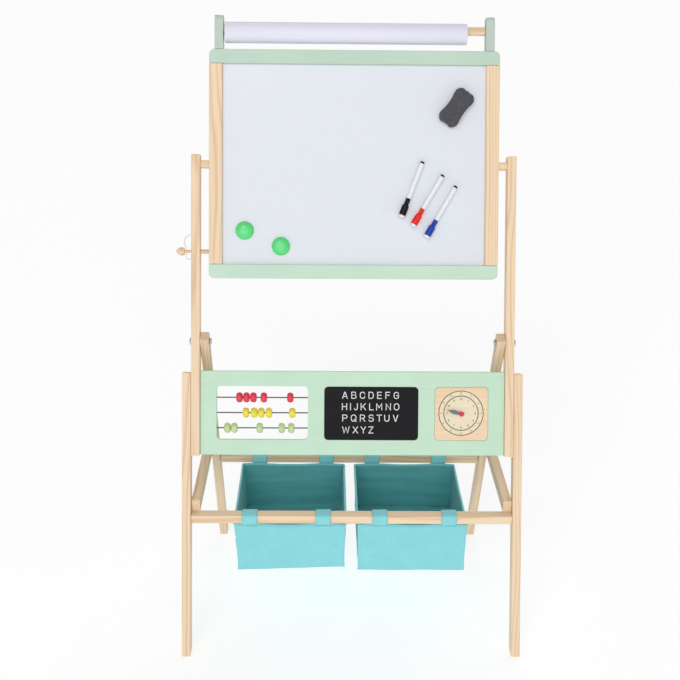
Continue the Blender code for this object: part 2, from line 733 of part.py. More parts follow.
def make_panel():
    half_w = UPRIGHT_INNER - TOUCH
    front = PANEL_SETBACK
    back = front + PANEL_THICK
    panel = block(
        "activity_panel",
        (-half_w, front, -PANEL_HEIGHT / 2),
        (half_w, back, PANEL_HEIGHT / 2),
        PANEL,
        MINT,
    )
    beads, letters, clock = panel_layout()
    window = rounded_plate(
        "bead_window", beads[0], beads[1], WINDOW_HEIGHT, front - 0.01, back + 0.01, None, PANEL
    )
    cutters = [as_cutter(window)]
    floor = front + POCKET_DEPTH
    for name, (x, width) in (("letter_board", letters), ("clock_plate", clock)):
        pocket = rounded_plate(
            f"{name}_pocket", x, width, WINDOW_HEIGHT, front - 0.01, floor, None, PANEL
        )
        cutters.append(as_cutter(pocket))
        gap = 2 * INSERT_SIDE_GAP
        back_face = floor - TOUCH
        insert = rounded_plate(
            name,
            x,
            width - gap,
            WINDOW_HEIGHT - gap,
            back_face - INSERT_THICK,
            back_face,
            BLACK if name == "letter_board" else PINE,
            PANEL,
        )
        ease(insert, 0.0004, 1)
    wire_depth = front + PANEL_THICK / 2
    wire_half = beads[1] / 2 + WIRE_IN_WALL
    for row, (colour, places) in enumerate(BEAD_ROWS):
        height = (1 - row) * WIRE_SPACING
        at = (wire_depth, height)
        clear = WIRE_RADIUS + WIRE_HOLE_CLEAR
        ends = (beads[0] - wire_half - TOUCH, beads[0] + wire_half + TOUCH)
        cutters.append(hole_along_x(f"wire_hole_{colour}", clear, *ends, PANEL, at, 12))
        turned(
            f"bead_wire_{colour}",
            rod_profile(WIRE_RADIUS, -wire_half, wire_half),
            PANEL,
            (beads[0], *at),
            DARK_WIRE,
            ALONG_X,
            12,
        )
        for number, offset in enumerate(places, 1):
            make_bead(f"bead_{colour}_{number}", beads[0] + offset, at, colour)
    cut(panel, *cutters)
    pin_hole = clock_hole("panel_clock_hole", floor + CLOCK_PIN_IN_PANEL + TOUCH, clock[0])
    cut(panel, pin_hole)
    cut(bpy.data.objects["clock_plate"], pin_hole)


def clock_hole(name, deepest, x):
    """A cutter for the clock's pin, from well in front to its deepest point."""
    start = -0.01
    radius = CLOCK_PIN_RADIUS + HAND_EYE_CLEAR
    return hole_into_face(name, radius, start, deepest - start, PANEL, (x, 0), 12)


def make_bead(name, x, at, colour):
    """A rounded bead with a bore for the wire."""
    looks = {"red": RED, "yellow": YELLOW, "green": PALE_GREEN}
    bore = WIRE_RADIUS + BEAD_BORE_CLEAR
    ring = bore + BEAD_RIM
    half = BEAD_WIDTH / 2
    outside = []
    steps = 8
    for i in range(steps + 1):
        turn = math.pi * i / steps
        outside.append((ring + (BEAD_RADIUS - ring) * math.sin(turn), half * math.cos(turn)))
    profile = ((bore, half), *outside, (bore, -half))
    turned(name, profile, PANEL, (x, *at), looks[colour], ALONG_X, BEAD_STEPS, closed=True)


def hand_outline(length, half_width, widest):
    """The tip and blade of a clock hand along +X; the eye is added around the origin."""
    root = math.sqrt(HAND_EYE_RADIUS**2 - half_width**2) if half_width < HAND_EYE_RADIUS else 0
    blade = [(length, 0), (length * widest, half_width), (root, half_width * 0.7)]
    eye_from = math.atan2(half_width * 0.7, root)
    steps = 10
    for i in range(1, steps):
        turn = eye_from + (2 * math.pi - 2 * eye_from) * i / steps
        blade.append((HAND_EYE_RADIUS * math.cos(turn), HAND_EYE_RADIUS * math.sin(turn)))
    blade.append((root, -half_width * 0.7))
    blade.append((length * widest, -half_width))
    return blade


def make_hand(name, outline, depth, x, look):
    """A flat hand with an eye for the clock's pin, its front face at depth."""
    curve = bpy.data.curves.new(name, "CURVE")
    curve.dimensions = "2D"
    curve.fill_mode = "BOTH"
    curve.extrude = HAND_THICK / 2
    eye = CLOCK_PIN_RADIUS + HAND_EYE_CLEAR
    sides = 12
    inner = []
    for i in range(sides):
        turn = 2 * math.pi * i / sides
        inner.append((eye * math.cos(turn), eye * math.sin(turn)))
    for points in (outline, inner):
        spline = curve.splines.new("POLY")
        spline.points.add(len(points) - 1)
        spline.use_cyclic_u = True
        for point, (px, py) in zip(spline.points, points):
            point.co = (px, py, 0, 1)
    turn = (math.pi / 2, -HANDS_ANGLE, 0)
    return place(name, curve, PANEL, (x, depth + HAND_THICK / 2, 0), look, turn)


def make_clock():
    x = panel_layout()[2][0]
    face = PANEL_SETBACK + POCKET_DEPTH - TOUCH - INSERT_THICK
    minute_front = face - HAND_GAP - HAND_THICK
    hour_front = minute_front - HAND_GAP - HAND_THICK
    make_hand(
        "minute_hand", hand_outline(MINUTE_HAND, MINUTE_HAND_HALF_WIDTH, 0.86), minute_front, x, RED
    )
    make_hand("hour_hand", hand_outline(HOUR_HAND, HOUR_HAND_HALF_WIDTH, 0.62), hour_front, x, SLATE)
    head = HAND_GAP
    end = hour_front - (PANEL_SETBACK + POCKET_DEPTH + CLOCK_PIN_IN_PANEL)
    profile = (
        (0, head + CLOCK_HEAD_HEIGHT),
        (CLOCK_HEAD_RADIUS * 0.6, head + CLOCK_HEAD_HEIGHT * 0.85),
        (CLOCK_HEAD_RADIUS * 0.92, head + CLOCK_HEAD_HEIGHT * 0.45),
        (CLOCK_HEAD_RADIUS, head),
        (CLOCK_PIN_RADIUS, head),
        (CLOCK_PIN_RADIUS, end),
        (0, end),
    )
    turned("clock_pin", profile, PANEL, (x, hour_front, 0), RED, OUT_OF_FACE, SMALL_STEPS)


def strap_loop(name, x, rail_y, wall_y, rim):
    """A band of cloth round a rail, sewn to the top of the bin's wall; the rail's space is cut from it later."""
    out = STRAP_SLACK + STRAP_THICK
    left, right = x - STRAP_WIDTH / 2, x + STRAP_WIDTH / 2
    band = block_cutter(
        name,
        (left, rail_y - out, RAIL_BOTTOM - out),
        (right, rail_y + RAIL_DEPTH + out, RAIL_TOP + out),
        None,
    )
    tab = block_cutter(
        f"{name}_tab",
        (left, wall_y, rim - BIN_WALL),
        (right, wall_y + BIN_WALL, RAIL_BOTTOM - STRAP_SLACK - STRAP_THICK / 2),
        None,
    )
    return band, tab


def make_bins():
    rim = RAIL_BOTTOM - BIN_BELOW_RAIL
    slack = STRAP_SLACK
    half = LEG_INNER
    rail_spaces = []
    for name, rail_y in (("front", FRONT_RAIL_Y), ("rear", REAR_RAIL_Y)):
        low = (-half, rail_y - slack, RAIL_BOTTOM - slack)
        high = (half, rail_y + RAIL_DEPTH + slack, RAIL_TOP + slack)
        rail_spaces.append(block_cutter(f"{name}_rail_space", low, high, None))
    front = FRONT_RAIL_Y + BIN_UNDER_RAIL
    back = REAR_RAIL_Y + BIN_WALL
    for side, sign in SIDES:
        middle = sign * BIN_CENTRE
        low = (middle - BIN_WIDTH / 2, front, rim - BIN_HEIGHT)
        high = (middle + BIN_WIDTH / 2, back, rim)
        bin_part = block(f"fabric_bin_{side}", low, high, None, TEAL, eased=False)
        inner_low = [value + BIN_WALL for value in low]
        inner_high = (high[0] - BIN_WALL, high[1] - BIN_WALL, high[2] + 0.001)
        inside = block_cutter(f"bin_inside_{side}", inner_low, inner_high, None)
        for made in (bin_part, inside):
            for vertex in made.data.vertices:
                if vertex.co.z < 0:
                    vertex.co.x -= math.copysign(BIN_TAPER, vertex.co.x)
        loops = []
        for strap, offset in (("outer", STRAP_HALF_SPACING), ("inner", -STRAP_HALF_SPACING)):
            x = sign * (STRAP_CENTRE + offset)
            loops += strap_loop(f"front_{strap}_loop_{side}", x, FRONT_RAIL_Y, front, rim)
            loops += strap_loop(f"rear_{strap}_loop_{side}", x, REAR_RAIL_Y, back - BIN_WALL, rim)
        cut(bin_part, inside)
        join(bin_part, *loops)
        cut(bin_part, *rail_spaces)


def face_depth():
    """Depth of the white face from the board's pivot plane."""
    return -SHEET_THICK / 2


def make_magnets():
    profile = [(0, MAGNET_HEIGHT)]
    steps = 7
    for i in range(1, steps + 1):
        turn = math.pi / 2 * i / steps
        rise = MAGNET_EDGE + (MAGNET_HEIGHT - MAGNET_EDGE) * math.cos(turn)
        profile.append((MAGNET_RADIUS * math.sin(turn), rise))
    profile.append((MAGNET_RADIUS, 0))
    profile.append((0, 0))
    for side, x, h in MAGNETS:
        at = (x, face_depth() - TOUCH, h)
        turned(f"magnet_{side}", profile, BOARD, at, BRIGHT_GREEN, OUT_OF_FACE)


def make_eraser():
    """A felt block with four round lobes and a waist."""
    quarter = ((0.0278, 0.0), (0.0306, 0.0090), (0.0225, 0.0166), (0.0110, 0.0152))
    waist = (0.0, 0.0146)
    upper = [quarter[0], *quarter[1:], waist]
    outline = upper + [(-x, y) for x, y in reversed(quarter)]
    outline += [(-x, -y) for x, y in quarter[1:]] + [(0.0, -waist[1])]
    outline += [(x, -y) for x, y in reversed(quarter[1:])]
    curve = bpy.data.curves.new("eraser", "CURVE")
    curve.dimensions = "2D"
    curve.fill_mode = "BOTH"
    curve.extrude = ERASER_THICK / 2
    curve.resolution_u = 4
    spline = curve.splines.new("BEZIER")
    spline.bezier_points.add(len(outline) - 1)
    spline.use_cyclic_u = True
    for point, (px, py) in zip(spline.bezier_points, outline):
        point.co = (px, py, 0)
        point.handle_left_type = "AUTO"
        point.handle_right_type = "AUTO"
    depth = face_depth() - TOUCH - ERASER_THICK / 2
    turn = (math.pi / 2, -(math.pi / 2 - ERASER_TURN), 0)
    made = place("eraser", curve, BOARD, (ERASER_PLACE[0], depth, ERASER_PLACE[1]), FELT, turn)
    weld = made.modifiers.new("weld", "WELD")
    weld.merge_threshold = 0.00001
    ease(made, 0.0018, 2)


def make_markers():
    """Each marker lies on its cap's rim, its tip end down."""
    body = (
        (0, MARKER_LENGTH),
        (MARKER_RADIUS * 0.8, MARKER_LENGTH),
        (MARKER_RADIUS * 0.84, MARKER_LENGTH - MARKER_PLUG),
        (MARKER_RADIUS, MARKER_LENGTH - MARKER_PLUG - 0.0006),
        (MARKER_RADIUS, CAP_MOUTH + TOUCH),
        (NOSE_RADIUS, CAP_MOUTH + TOUCH),
        (NOSE_RADIUS * 0.92, CAP_FLOOR + 0.0085),
        (NIB_RADIUS, CAP_FLOOR + 0.0060),
        (NIB_RADIUS, CAP_FLOOR + 0.0015),
        (0, CAP_FLOOR + 0.0015),
    )
    cap = (
        (0, CAP_FLOOR),
        (CAP_BORE, CAP_FLOOR),
        (CAP_BORE, CAP_MOUTH),
        (CAP_NECK_RADIUS, CAP_MOUTH),
        (CAP_NECK_RADIUS, CAP_SHOULDER + 0.0015),
        (CAP_RADIUS, CAP_SHOULDER - 0.0005),
        (CAP_RADIUS, CAP_END),
        (CAP_END_RADIUS, CAP_END),
        (CAP_END_RADIUS, 0.0004),
        (CAP_END_RADIUS - 0.0004, 0),
        (0, 0),
    )
    depth = face_depth() - TOUCH - CAP_RADIUS
    looks = {"black": BLACK, "red": RED, "blue": BLUE}
    for colour, x, h, lean in MARKERS:
        at = (x, depth, h)
        turn = (0, lean, 0)
        turned(f"marker_{colour}", body, BOARD, at, WHITE_PLASTIC, turn, SMALL_STEPS)
        turned(f"marker_cap_{colour}", cap, BOARD, at, looks[colour], turn, SMALL_STEPS)


clear_scene()
EASEL = new_collection("kids_easel", hidden=False)
CUTTERS = new_collection("cutters", hidden=True)
FRONT = anchor("front_frame", at=(0, FRONT_Y, 0), turn=(-FRONT_LEAN, 0, 0))
REAR = anchor("rear_frame", at=(0, FRONT_Y + FOOT_SPACING, 0), turn=(REAR_LEAN, 0, 0))
BOARD = anchor("board_pivot", FRONT, at=(0, MID_LEG, BOARD_PIVOT))
PANEL_MID = UPRIGHT_BOTTOM + PANEL_ABOVE_UPRIGHT_BOTTOM + PANEL_HEIGHT / 2
PANEL = anchor("panel_middle", FRONT, at=(0, 0, PANEL_MID))
make_legs()
make_rails()
make_board()
make_lock_pin()
make_pin_cord()
make_roll()
make_panel()
make_clock()
make_bins()
make_magnets()
make_eraser()
make_markers()
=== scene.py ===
"""Looks for a children's easel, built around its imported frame.

Laid out as an add-on: each operator makes one piece or group of like pieces, in metres,
in the frame's own space.
"""

import json
import math

import bmesh
import bpy
import numpy as np
from bpy.props import FloatProperty, FloatVectorProperty, IntProperty, PointerProperty
from mathutils import Matrix, Vector, noise


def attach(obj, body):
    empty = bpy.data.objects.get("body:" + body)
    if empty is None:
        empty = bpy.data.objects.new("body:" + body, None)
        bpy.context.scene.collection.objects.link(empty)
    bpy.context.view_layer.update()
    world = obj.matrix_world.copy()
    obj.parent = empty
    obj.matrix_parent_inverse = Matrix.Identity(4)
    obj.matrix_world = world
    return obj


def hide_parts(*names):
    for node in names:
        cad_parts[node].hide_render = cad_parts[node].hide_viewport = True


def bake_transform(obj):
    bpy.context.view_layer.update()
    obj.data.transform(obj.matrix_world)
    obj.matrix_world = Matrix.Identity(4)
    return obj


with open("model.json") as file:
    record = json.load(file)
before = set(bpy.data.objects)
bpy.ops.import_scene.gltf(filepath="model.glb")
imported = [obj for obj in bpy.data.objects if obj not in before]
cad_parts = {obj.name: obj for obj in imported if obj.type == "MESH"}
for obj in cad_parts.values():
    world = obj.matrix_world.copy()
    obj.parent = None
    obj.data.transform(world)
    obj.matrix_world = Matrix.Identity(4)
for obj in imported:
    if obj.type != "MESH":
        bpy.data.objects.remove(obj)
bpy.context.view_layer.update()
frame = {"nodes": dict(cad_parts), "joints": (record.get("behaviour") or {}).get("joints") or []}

bl_info = {
    "name": "Kids easel",
    "version": (1, 0, 0),
    "blender": (4, 5, 0),
    "location": "View3D > Sidebar > Easel",
    "description": "Finishes, cloth bins and small pieces of a children's easel",
    "category": "Object",
}

JOINTS = {joint["name"]: joint for joint in frame["joints"]}
UP = Vector(JOINTS["roll_lift"]["axis"])  # up the leaning front frame
OUT = Vector(JOINTS["eraser_pull_off"]["axis"])  # out of the board's white face
RIGHT = Vector((1, 0, 0))
MIDDLE = Vector((0, 0, 0.5))  # roughly the middle of the easel, for aiming lights
SIDES = (("left", -1), ("right", 1))


def local_frame(origin, right=RIGHT, back=-OUT, up=UP):
    """The matrix of a space with its own right, back and up."""
    made = Matrix((right, back, up)).transposed().to_4x4()
    made.translation = origin
    return made


BOARD = local_frame(Vector(JOINTS["board_flip"]["pos_m"]))
CLOCK = local_frame(Vector(JOINTS["hour_hand_turn"]["pos_m"]))
LEVEL = Matrix.Identity(4)
ALONG_X = Matrix.Rotation(math.pi / 2, 4, "Y")  # turns a lathe's own Z to +X
ALONG_MINUS_X = Matrix.Rotation(-math.pi / 2, 4, "Y")
OUTWARDS = {-1: ALONG_MINUS_X, 1: ALONG_X}  # for the left and the right side
OUT_OF_FACE = Matrix.Rotation(math.pi / 2, 4, "X")  # turns a lathe's own Z out of the face


def span(node, space=LEVEL):
    """Lowest and highest corner of a CAD node in a space."""
    inverse = space.inverted()
    points = [inverse @ vertex.co for vertex in frame["nodes"][node].data.vertices]
    low = Vector([min(point[i] for point in points) for i in range(3)])
    high = Vector([max(point[i] for point in points) for i in range(3)])
    return low, high


def middle(node, space=LEVEL):
    low, high = span(node, space)
    return (low + high) / 2


def lie_of(node):
    """The direction that a long CAD node runs in."""
    points = np.array([vertex.co for vertex in frame["nodes"][node].data.vertices])
    run = np.linalg.svd(points - points.mean(0), full_matrices=False)[2][0]
    return Vector(run if run[np.abs(run).argmax()] > 0 else -run)


# ---------------------------------------------------------------- settings


def colour_property(name, description, default):
    return FloatVectorProperty(
        name=name, description=description, default=default, subtype="COLOR", size=3, min=0, max=1
    )


def number_property(name, description, default, **more):
    return FloatProperty(name=name, description=description, default=default, **more)


def length_property(name, description, default):
    return number_property(name, description, default, unit="LENGTH", min=0, precision=5)


class EaselColours(bpy.types.PropertyGroup):
    """Finishes of the easel."""

    pine: colour_property("Pine", "Early wood of the bare pine", (0.90, 0.705, 0.49))
    pine_dark: colour_property("Late wood", "Lines of late wood in the pine", (0.62, 0.37, 0.205))
    mint: colour_property("Mint", "Paint of the rails, posts and panel", (0.565, 0.775, 0.605))
    dry_wipe: colour_property("Dry-wipe", "Coating of the board's face", (0.70, 0.735, 0.79))
    chalk_back: colour_property("Chalkboard", "Coating of the board's back", (0.022, 0.03, 0.028))
    paper: colour_property("Paper", "Drawing paper on the roll", (0.79, 0.775, 0.885))
    card: colour_property("Card", "Core of the paper roll", (0.42, 0.30, 0.19))
    cloth: colour_property("Bin cloth", "Woven cloth of the bins", (0.265, 0.70, 0.755))
    # The darker inside colour is painted shade: the same cloth, darkened for the shade inside a bin.
    cloth_inside: colour_property("Bin inside", "Inner side of the cloth", (0.135, 0.47, 0.505))
    thread: colour_property("Thread", "Stitching of the bins", (0.16, 0.52, 0.56))
    black: colour_property("Black", "Letter board", (0.010, 0.0095, 0.0115))
    ink: colour_property("White ink", "Printed capitals", (0.86, 0.86, 0.88))
    dial_ink: colour_property("Dial ink", "Printed dial of the clock", (0.10, 0.07, 0.05))
    red: colour_property("Red beads", "Paint of the top row", (0.80, 0.035, 0.075))
    yellow: colour_property("Yellow beads", "Paint of the middle row", (0.86, 0.74, 0.055))
    pale_green: colour_property("Green beads", "Paint of the bottom row", (0.56, 0.70, 0.34))
    magnet: colour_property("Magnets", "Plastic of the magnets", (0.11, 0.72, 0.22))
    felt: colour_property("Felt", "Felt of the eraser", (0.082, 0.080, 0.090))
    white_plastic: colour_property("Barrels", "Marker barrels", (0.84, 0.84, 0.86))
    marker_red: colour_property("Red cap", "Red marker's cap", (0.84, 0.025, 0.02))
    marker_blue: colour_property("Blue cap", "Blue marker's cap", (0.02, 0.05, 0.42))
    marker_black: colour_property("Black cap", "Black marker's cap", (0.004, 0.004, 0.005))
    slate: colour_property("Hour hand", "Paint of the hour hand", (0.11, 0.17, 0.21))
    cord: colour_property("Cord", "Cotton cord of the pin", (0.80, 0.76, 0.70))
    steel: colour_property("Steel", "Bolts and screws", (0.56, 0.56, 0.57))
    wire: colour_property("Wire", "Bead wires", (0.09, 0.09, 0.10))
    floor: colour_property("Floor", "Floor of the studio", (0.50, 0.50, 0.50))


class EaselSizes(bpy.types.PropertyGroup):
    """Sizes of what is added to the frame."""

    ring_pitch: length_property("Ring pitch", "Distance between growth rings", 0.0042)
    cloth_thick: length_property("Cloth", "Thickness of the bin cloth", 0.0016)
    weave_pitch: length_property("Weave", "Distance between threads of the cloth", 0.0009)
    strap_width: length_property("Strap width", "Width of a bin's strap", 0.0255)
    bin_corner: length_property("Bin corner", "Radius of a bin's upright corners", 0.0045)
    bin_taper: length_property("Bin taper", "How far each side draws in at the bottom", 0.003)
    bin_sag: length_property("Bin sag", "How far the bottom hangs at its middle", 0.004)
    bin_lift: length_property("Bin lift", "How much higher the left bin's bottom is at the right", 0.0062)
    bin_flare: length_property("Bin flare", "How far the left bin opens out at its left rim", 0.0034)
    hem: length_property("Hem", "Depth of the binding round the bin's rim", 0.0034)
    stitch: length_property("Stitch", "Length of one stitch", 0.0026)
    stitch_gap: length_property("Stitch gap", "Gap between stitches", 0.0011)
    letter_height: length_property("Letters", "Height of the capitals", 0.0112)
    letter_stroke: length_property("Letter stroke", "Width of the capitals' strokes", 0.00125)
    dial_outer: length_property("Outer circle", "Radius of the dial's outer circle", 0.0356)
    dial_inner: length_property("Inner circle", "Radius of the dial's inner circle", 0.0275)
    dial_line: length_property("Dial line", "Width of the dial's circles", 0.0013)
    screw_head: length_property("Screw head", "Radius of the screw heads", 0.0036)
    round_steps: IntProperty(
        name="Round steps", description="Sides of a turned piece", default=48, min=12
    )


class EaselStudio(bpy.types.PropertyGroup):
    """Camera and lights."""

    lens: number_property("Lens", "Focal length", 57.34, unit="CAMERA", min=10)
    camera_at: FloatVectorProperty(
        name="Camera place",
        description="Where the camera stands",
        default=(-0.0448, -1.6177, 1.1284),
        subtype="TRANSLATION",
        unit="LENGTH",
    )
    pitch: number_property(
        "Pitch", "Camera's tilt below the horizon", math.radians(22.06), subtype="ANGLE"
    )
    yaw: number_property("Yaw", "Camera's turn to its right", 0.0150, subtype="ANGLE")
    roll: number_property("Roll", "Camera's roll", 0.0110, subtype="ANGLE")
    key_power: number_property("Front light", "Strength of the broad front light", 1.04, min=0)
    back_power: number_property("Back light", "Strength of the broad back light", 0.55, min=0)
    top_power: number_property("Top light", "Power of the light overhead", 4, unit="POWER")
    floor_glow: number_property("Floor glow", "Light that the pale floor gives off", 0.63, min=0)
    ambient: number_property("Ambient", "Strength of the light all round", 0.47, min=0)


def colours():
    return bpy.context.scene.easel_colours


def sizes():
    return bpy.context.scene.easel_sizes


# ---------------------------------------------------------------- materials


class Wire:
    """A number that changes over a surface; plain arithmetic on it adds Math nodes."""

    def __init__(self, finish, socket):
        self.finish = finish
        self.socket = socket

    def maths(self, operation, *values):
        return self.finish.add("ShaderNodeMath", {"operation": operation}, dict(enumerate(values)))

    def __add__(self, other):
        return self.maths("ADD", self, other)

    def __radd__(self, other):
        return self.maths("ADD", other, self)

    def __sub__(self, other):
        return self.maths("SUBTRACT", self, other)

    def __rsub__(self, other):
        return self.maths("SUBTRACT", other, self)

    def __mul__(self, other):
        return self.maths("MULTIPLY", self, other)

    def __pow__(self, other):
        return self.maths("POWER", self, other)

    def __gt__(self, other):
        return self.maths("GREATER_THAN", self, other)

    def sine(self):
        return self.maths("SINE", self)

    def ramp(self, low, high):
        """0 below low, 1 above high, and smooth between them."""
        settings = {"interpolation_type": "SMOOTHSTEP", "clamp": True}
        sockets = {"Value": self, "From Min": low, "From Max": high}
        return self.finish.add("ShaderNodeMapRange", settings, sockets)


class Finish:
    """A material while its nodes are laid out. Its space is the frame's own, in metres."""

    def __init__(self, name):
        self.material = bpy.data.materials.new(name)
        self.material.use_nodes = True
        self.tree = self.material.node_tree
        self.shader = self.tree.nodes["Principled BSDF"]
        self.place = self.add("ShaderNodeTexCoord", output="Object")

    def add(self, kind, settings=None, sockets=None, output=0):
        """One node: its settings are set first, then each socket gets its value or its link."""
        made = self.tree.nodes.new(kind)
        for key, value in (settings or {}).items():
            setattr(made, key, value)
        for key, value in (sockets or {}).items():
            if isinstance(value, Wire):
                self.tree.links.new(value.socket, made.inputs[key])
            else:
                made.inputs[key].default_value = value
        return Wire(self, made.outputs[output])

    def vector(self, operation, first, second, output=0):
        return self.add("ShaderNodeVectorMath", {"operation": operation}, {0: first, 1: second}, output)

    def spread(self, at, stretch):
        """The place, multiplied on each axis."""
        return self.vector("MULTIPLY", at, stretch)

    def along(self, at, direction):
        """How far the place is along a direction."""
        return self.vector("DOT_PRODUCT", at, tuple(direction), "Value")

    def parts(self, at):
        node = self.add("ShaderNodeSeparateXYZ", None, {0: at}).socket.node
        return [Wire(self, socket) for socket in node.outputs]

    def joined(self, x, y, z):
        return self.add("ShaderNodeCombineXYZ", None, {0: x, 1: y, 2: z})

    def noise(self, at, scale=1.0, detail=2.0, roughness=0.5):
        sockets = {"Vector": at, "Scale": scale, "Detail": detail, "Roughness": roughness}
        return self.add("ShaderNodeTexNoise", None, sockets)

    def mix(self, factor, first, second):
        """A colour between two."""
        sockets = {"Factor": factor}
        for key, value in ((6, first), (7, second)):
            sockets[key] = value if isinstance(value, Wire) else (*value, 1.0)
        return self.add("ShaderNodeMix", {"data_type": "RGBA"}, sockets, 2)

    def bump(self, height, depth, strength=1.0):
        sockets = {"Height": height, "Distance": depth, "Strength": strength}
        return self.add("ShaderNodeBump", None, sockets)

    def done(self, **sockets):
        """Gives the shader its values and links; a name's spaces are underscores."""
        for key, value in sockets.items():
            socket = self.shader.inputs[key.replace("_", " ")]
            if isinstance(value, Wire):
                self.tree.links.new(value.socket, socket)
            else:
                socket.default_value = value
        return self.material


def shade(colour, factor):
    """A darker or paler copy of a colour."""
    return tuple(min(1.0, channel * factor) for channel in colour)


def pine(name, run, centre, seed, tone=1.0, plain_sawn=1.0):
    """Sanded pine: long curves of growth rings, fine fibre and a few resin streaks."""
    wood = Finish(name)
    side = Vector((1, 0, 0)) if abs(run.x) < 0.7 else Vector((0, 0, 1))
    side = (side - run * side.dot(run)).normalized()
    across = run.cross(side)
    rel = wood.vector("SUBTRACT", wood.place, tuple(centre))
    length = wood.along(rel, run) + seed * 0.37
    wide = wood.along(rel, side)
    deep = wood.along(rel, across)
    grain = wood.joined(length, wide, deep)
    sway = wood.noise(wood.spread(grain, (3.2, 17, 17)), 1, 2) - 0.5
    wander = wood.noise(wood.spread(grain, (1.6, 3, 3)), 1, 1) - 0.5
    pith = (0.006 + 0.006 * ((seed * 7) % 5), 0.030 + 0.008 * ((seed * 3) % 4))
    from_pith = (wide + pith[0] + wander * (0.05 * plain_sawn)) ** 2 + (deep + pith[1]) ** 2
    reach = from_pith**0.5 + sway * 0.009
    rings = (reach * (2 * math.pi / sizes().ring_pitch)).sine() * 0.5 + 0.5
    late = rings**4
    fibre = wood.noise(wood.spread(grain, (38, 1500, 1500)), 1, 3, 0.6)
    cloudy = wood.noise(wood.spread(grain, (6, 60, 60)), 1, 2)
    streak = wood.noise(wood.spread(grain, (4, 380, 380)), 1, 2).ramp(0.56, 0.72)
    shares = late * 0.40 + fibre * 0.16 + streak * 0.24 + cloudy * 0.30 - 0.14
    pale = shade(colours().pine, tone)
    colour = wood.mix(shares.ramp(-0.10, 1.15), pale, shade(colours().pine_dark, tone))
    height = fibre * 0.6 + late * 0.4
    return wood.done(
        Base_Color=colour,
        Roughness=0.46 + fibre * 0.2,
        Normal=wood.bump(height, 0.00012, 0.5),
        Specular_IOR_Level=0.25,
    )


def mint_paint(name, run, seed=0, tone=1.0, grey=0.0):
    """Satin paint over wood, with the grain just telling through it and faint roller texture."""
    paint = Finish(name)
    side = Vector((0, 0, 1)) if abs(run.x) > 0.7 else Vector((1, 0, 0))
    across = run.cross(side)
    grain = paint.joined(
        paint.along(paint.place, run) + seed,
        paint.along(paint.place, side),
        paint.along(paint.place, across),
    )
    telling = paint.noise(paint.spread(grain, (14, 420, 420)), 1, 3)
    roller = paint.noise(paint.place, 900, 2)
    cloudy = paint.noise(paint.place, 16, 2)
    share = (telling * 0.5 + cloudy * 0.5).ramp(0.3, 0.75)
    level = sum(colours().mint) / 3
    mint = [tone * (channel + (level - channel) * grey) for channel in colours().mint]
    return paint.done(
        Base_Color=paint.mix(share, shade(mint, 1.035), shade(mint, 0.955)),
        Roughness=0.42 + telling * 0.16 + roller * 0.06,
        Normal=paint.bump(telling * 0.7 + roller * 0.5, 0.00010, 0.45),
        Specular_IOR_Level=0.3,
    )


def board_coating():
    """Dry-wipe gloss on the face and dusty chalkboard on the back, parted at the sheet's own middle."""
    coat = Finish("board_coating")
    depth = coat.along(coat.vector("SUBTRACT", coat.place, tuple(BOARD.translation)), -OUT)
    back = depth > 0.0
    wiped = coat.noise(coat.spread(coat.place, (9, 30, 16)), 1, 3)
    ghost = coat.noise(coat.place, 55, 2).ramp(0.52, 0.80)
    chalk = coat.noise(coat.spread(coat.place, (5, 14, 11)), 1, 4, 0.6).ramp(0.45, 0.8)
    tooth = coat.noise(coat.place, 2400, 2)
    face = coat.mix(ghost * 0.35 + wiped * 0.2, colours().dry_wipe, shade(colours().dry_wipe, 0.955))
    slate = coat.mix(chalk * 0.35, colours().chalk_back, (0.16, 0.17, 0.165))
    return coat.done(
        Base_Color=coat.mix(back, face, slate),
        Roughness=0.20 + wiped * 0.12 + back * 0.5,
        Normal=coat.bump(tooth * back + wiped * 0.05, 0.00012, 0.4),
        Coat_Weight=(1 - back) * 0.35,
    )


def gloss_paint(name, colour, rough=0.3, mottle=0.06, gloss=0.4, coat=0.25):
    """Thick gloss paint or moulded plastic with slight unevenness."""
    paint = Finish(name)
    cloudy = paint.noise(paint.place, 260, 2)
    peel = paint.noise(paint.place, 1300, 2)
    scuff = paint.noise(paint.place, 620, 4, 0.7).ramp(0.62, 0.8)
    share = cloudy.ramp(0.3, 0.7)
    return paint.done(
        Base_Color=paint.mix(share, shade(colour, 1 + mottle), shade(colour, 1 - mottle)),
        Roughness=rough + scuff * 0.16 + cloudy * 0.05,
        Normal=paint.bump(peel, 0.00006, 0.35),
        Specular_IOR_Level=gloss,
        Coat_Weight=coat,
        Coat_Roughness=0.15,
    )


def woven_cloth(name, colour):
    """Plain weave, from the cloth's own thread coordinates."""
    cloth = Finish(name)
    at = cloth.add("ShaderNodeAttribute", {"attribute_name": "thread"}, output="Vector")
    warp, weft, _ = cloth.parts(at)
    turns = 2 * math.pi / sizes().weave_pitch
    over = (warp * turns).sine()
    under = (weft * turns).sine()
    weave = over * under * 0.5 + 0.5
    slub = cloth.noise(cloth.spread(at, (60, 900, 1)), 1, 2)
    slub_across = cloth.noise(cloth.spread(at, (900, 60, 1)), 1, 2)
    fuzz = cloth.noise(cloth.place, 2600, 2)
    worn = cloth.noise(cloth.place, 34, 3)
    share = weave * 0.34 + slub * 0.24 + slub_across * 0.24 + worn * 0.2
    return cloth.done(
        Base_Color=cloth.mix(share.ramp(0.2, 0.85), shade(colour, 0.84), shade(colour, 1.12)),
        Roughness=0.80 + fuzz * 0.15,
        Normal=cloth.bump(weave * 0.7 + slub * 0.2 + fuzz * 0.25, 0.00022, 0.55),
        Sheen_Weight=0.18,
        Sheen_Roughness=0.5,
        Specular_IOR_Level=0.2,
    )


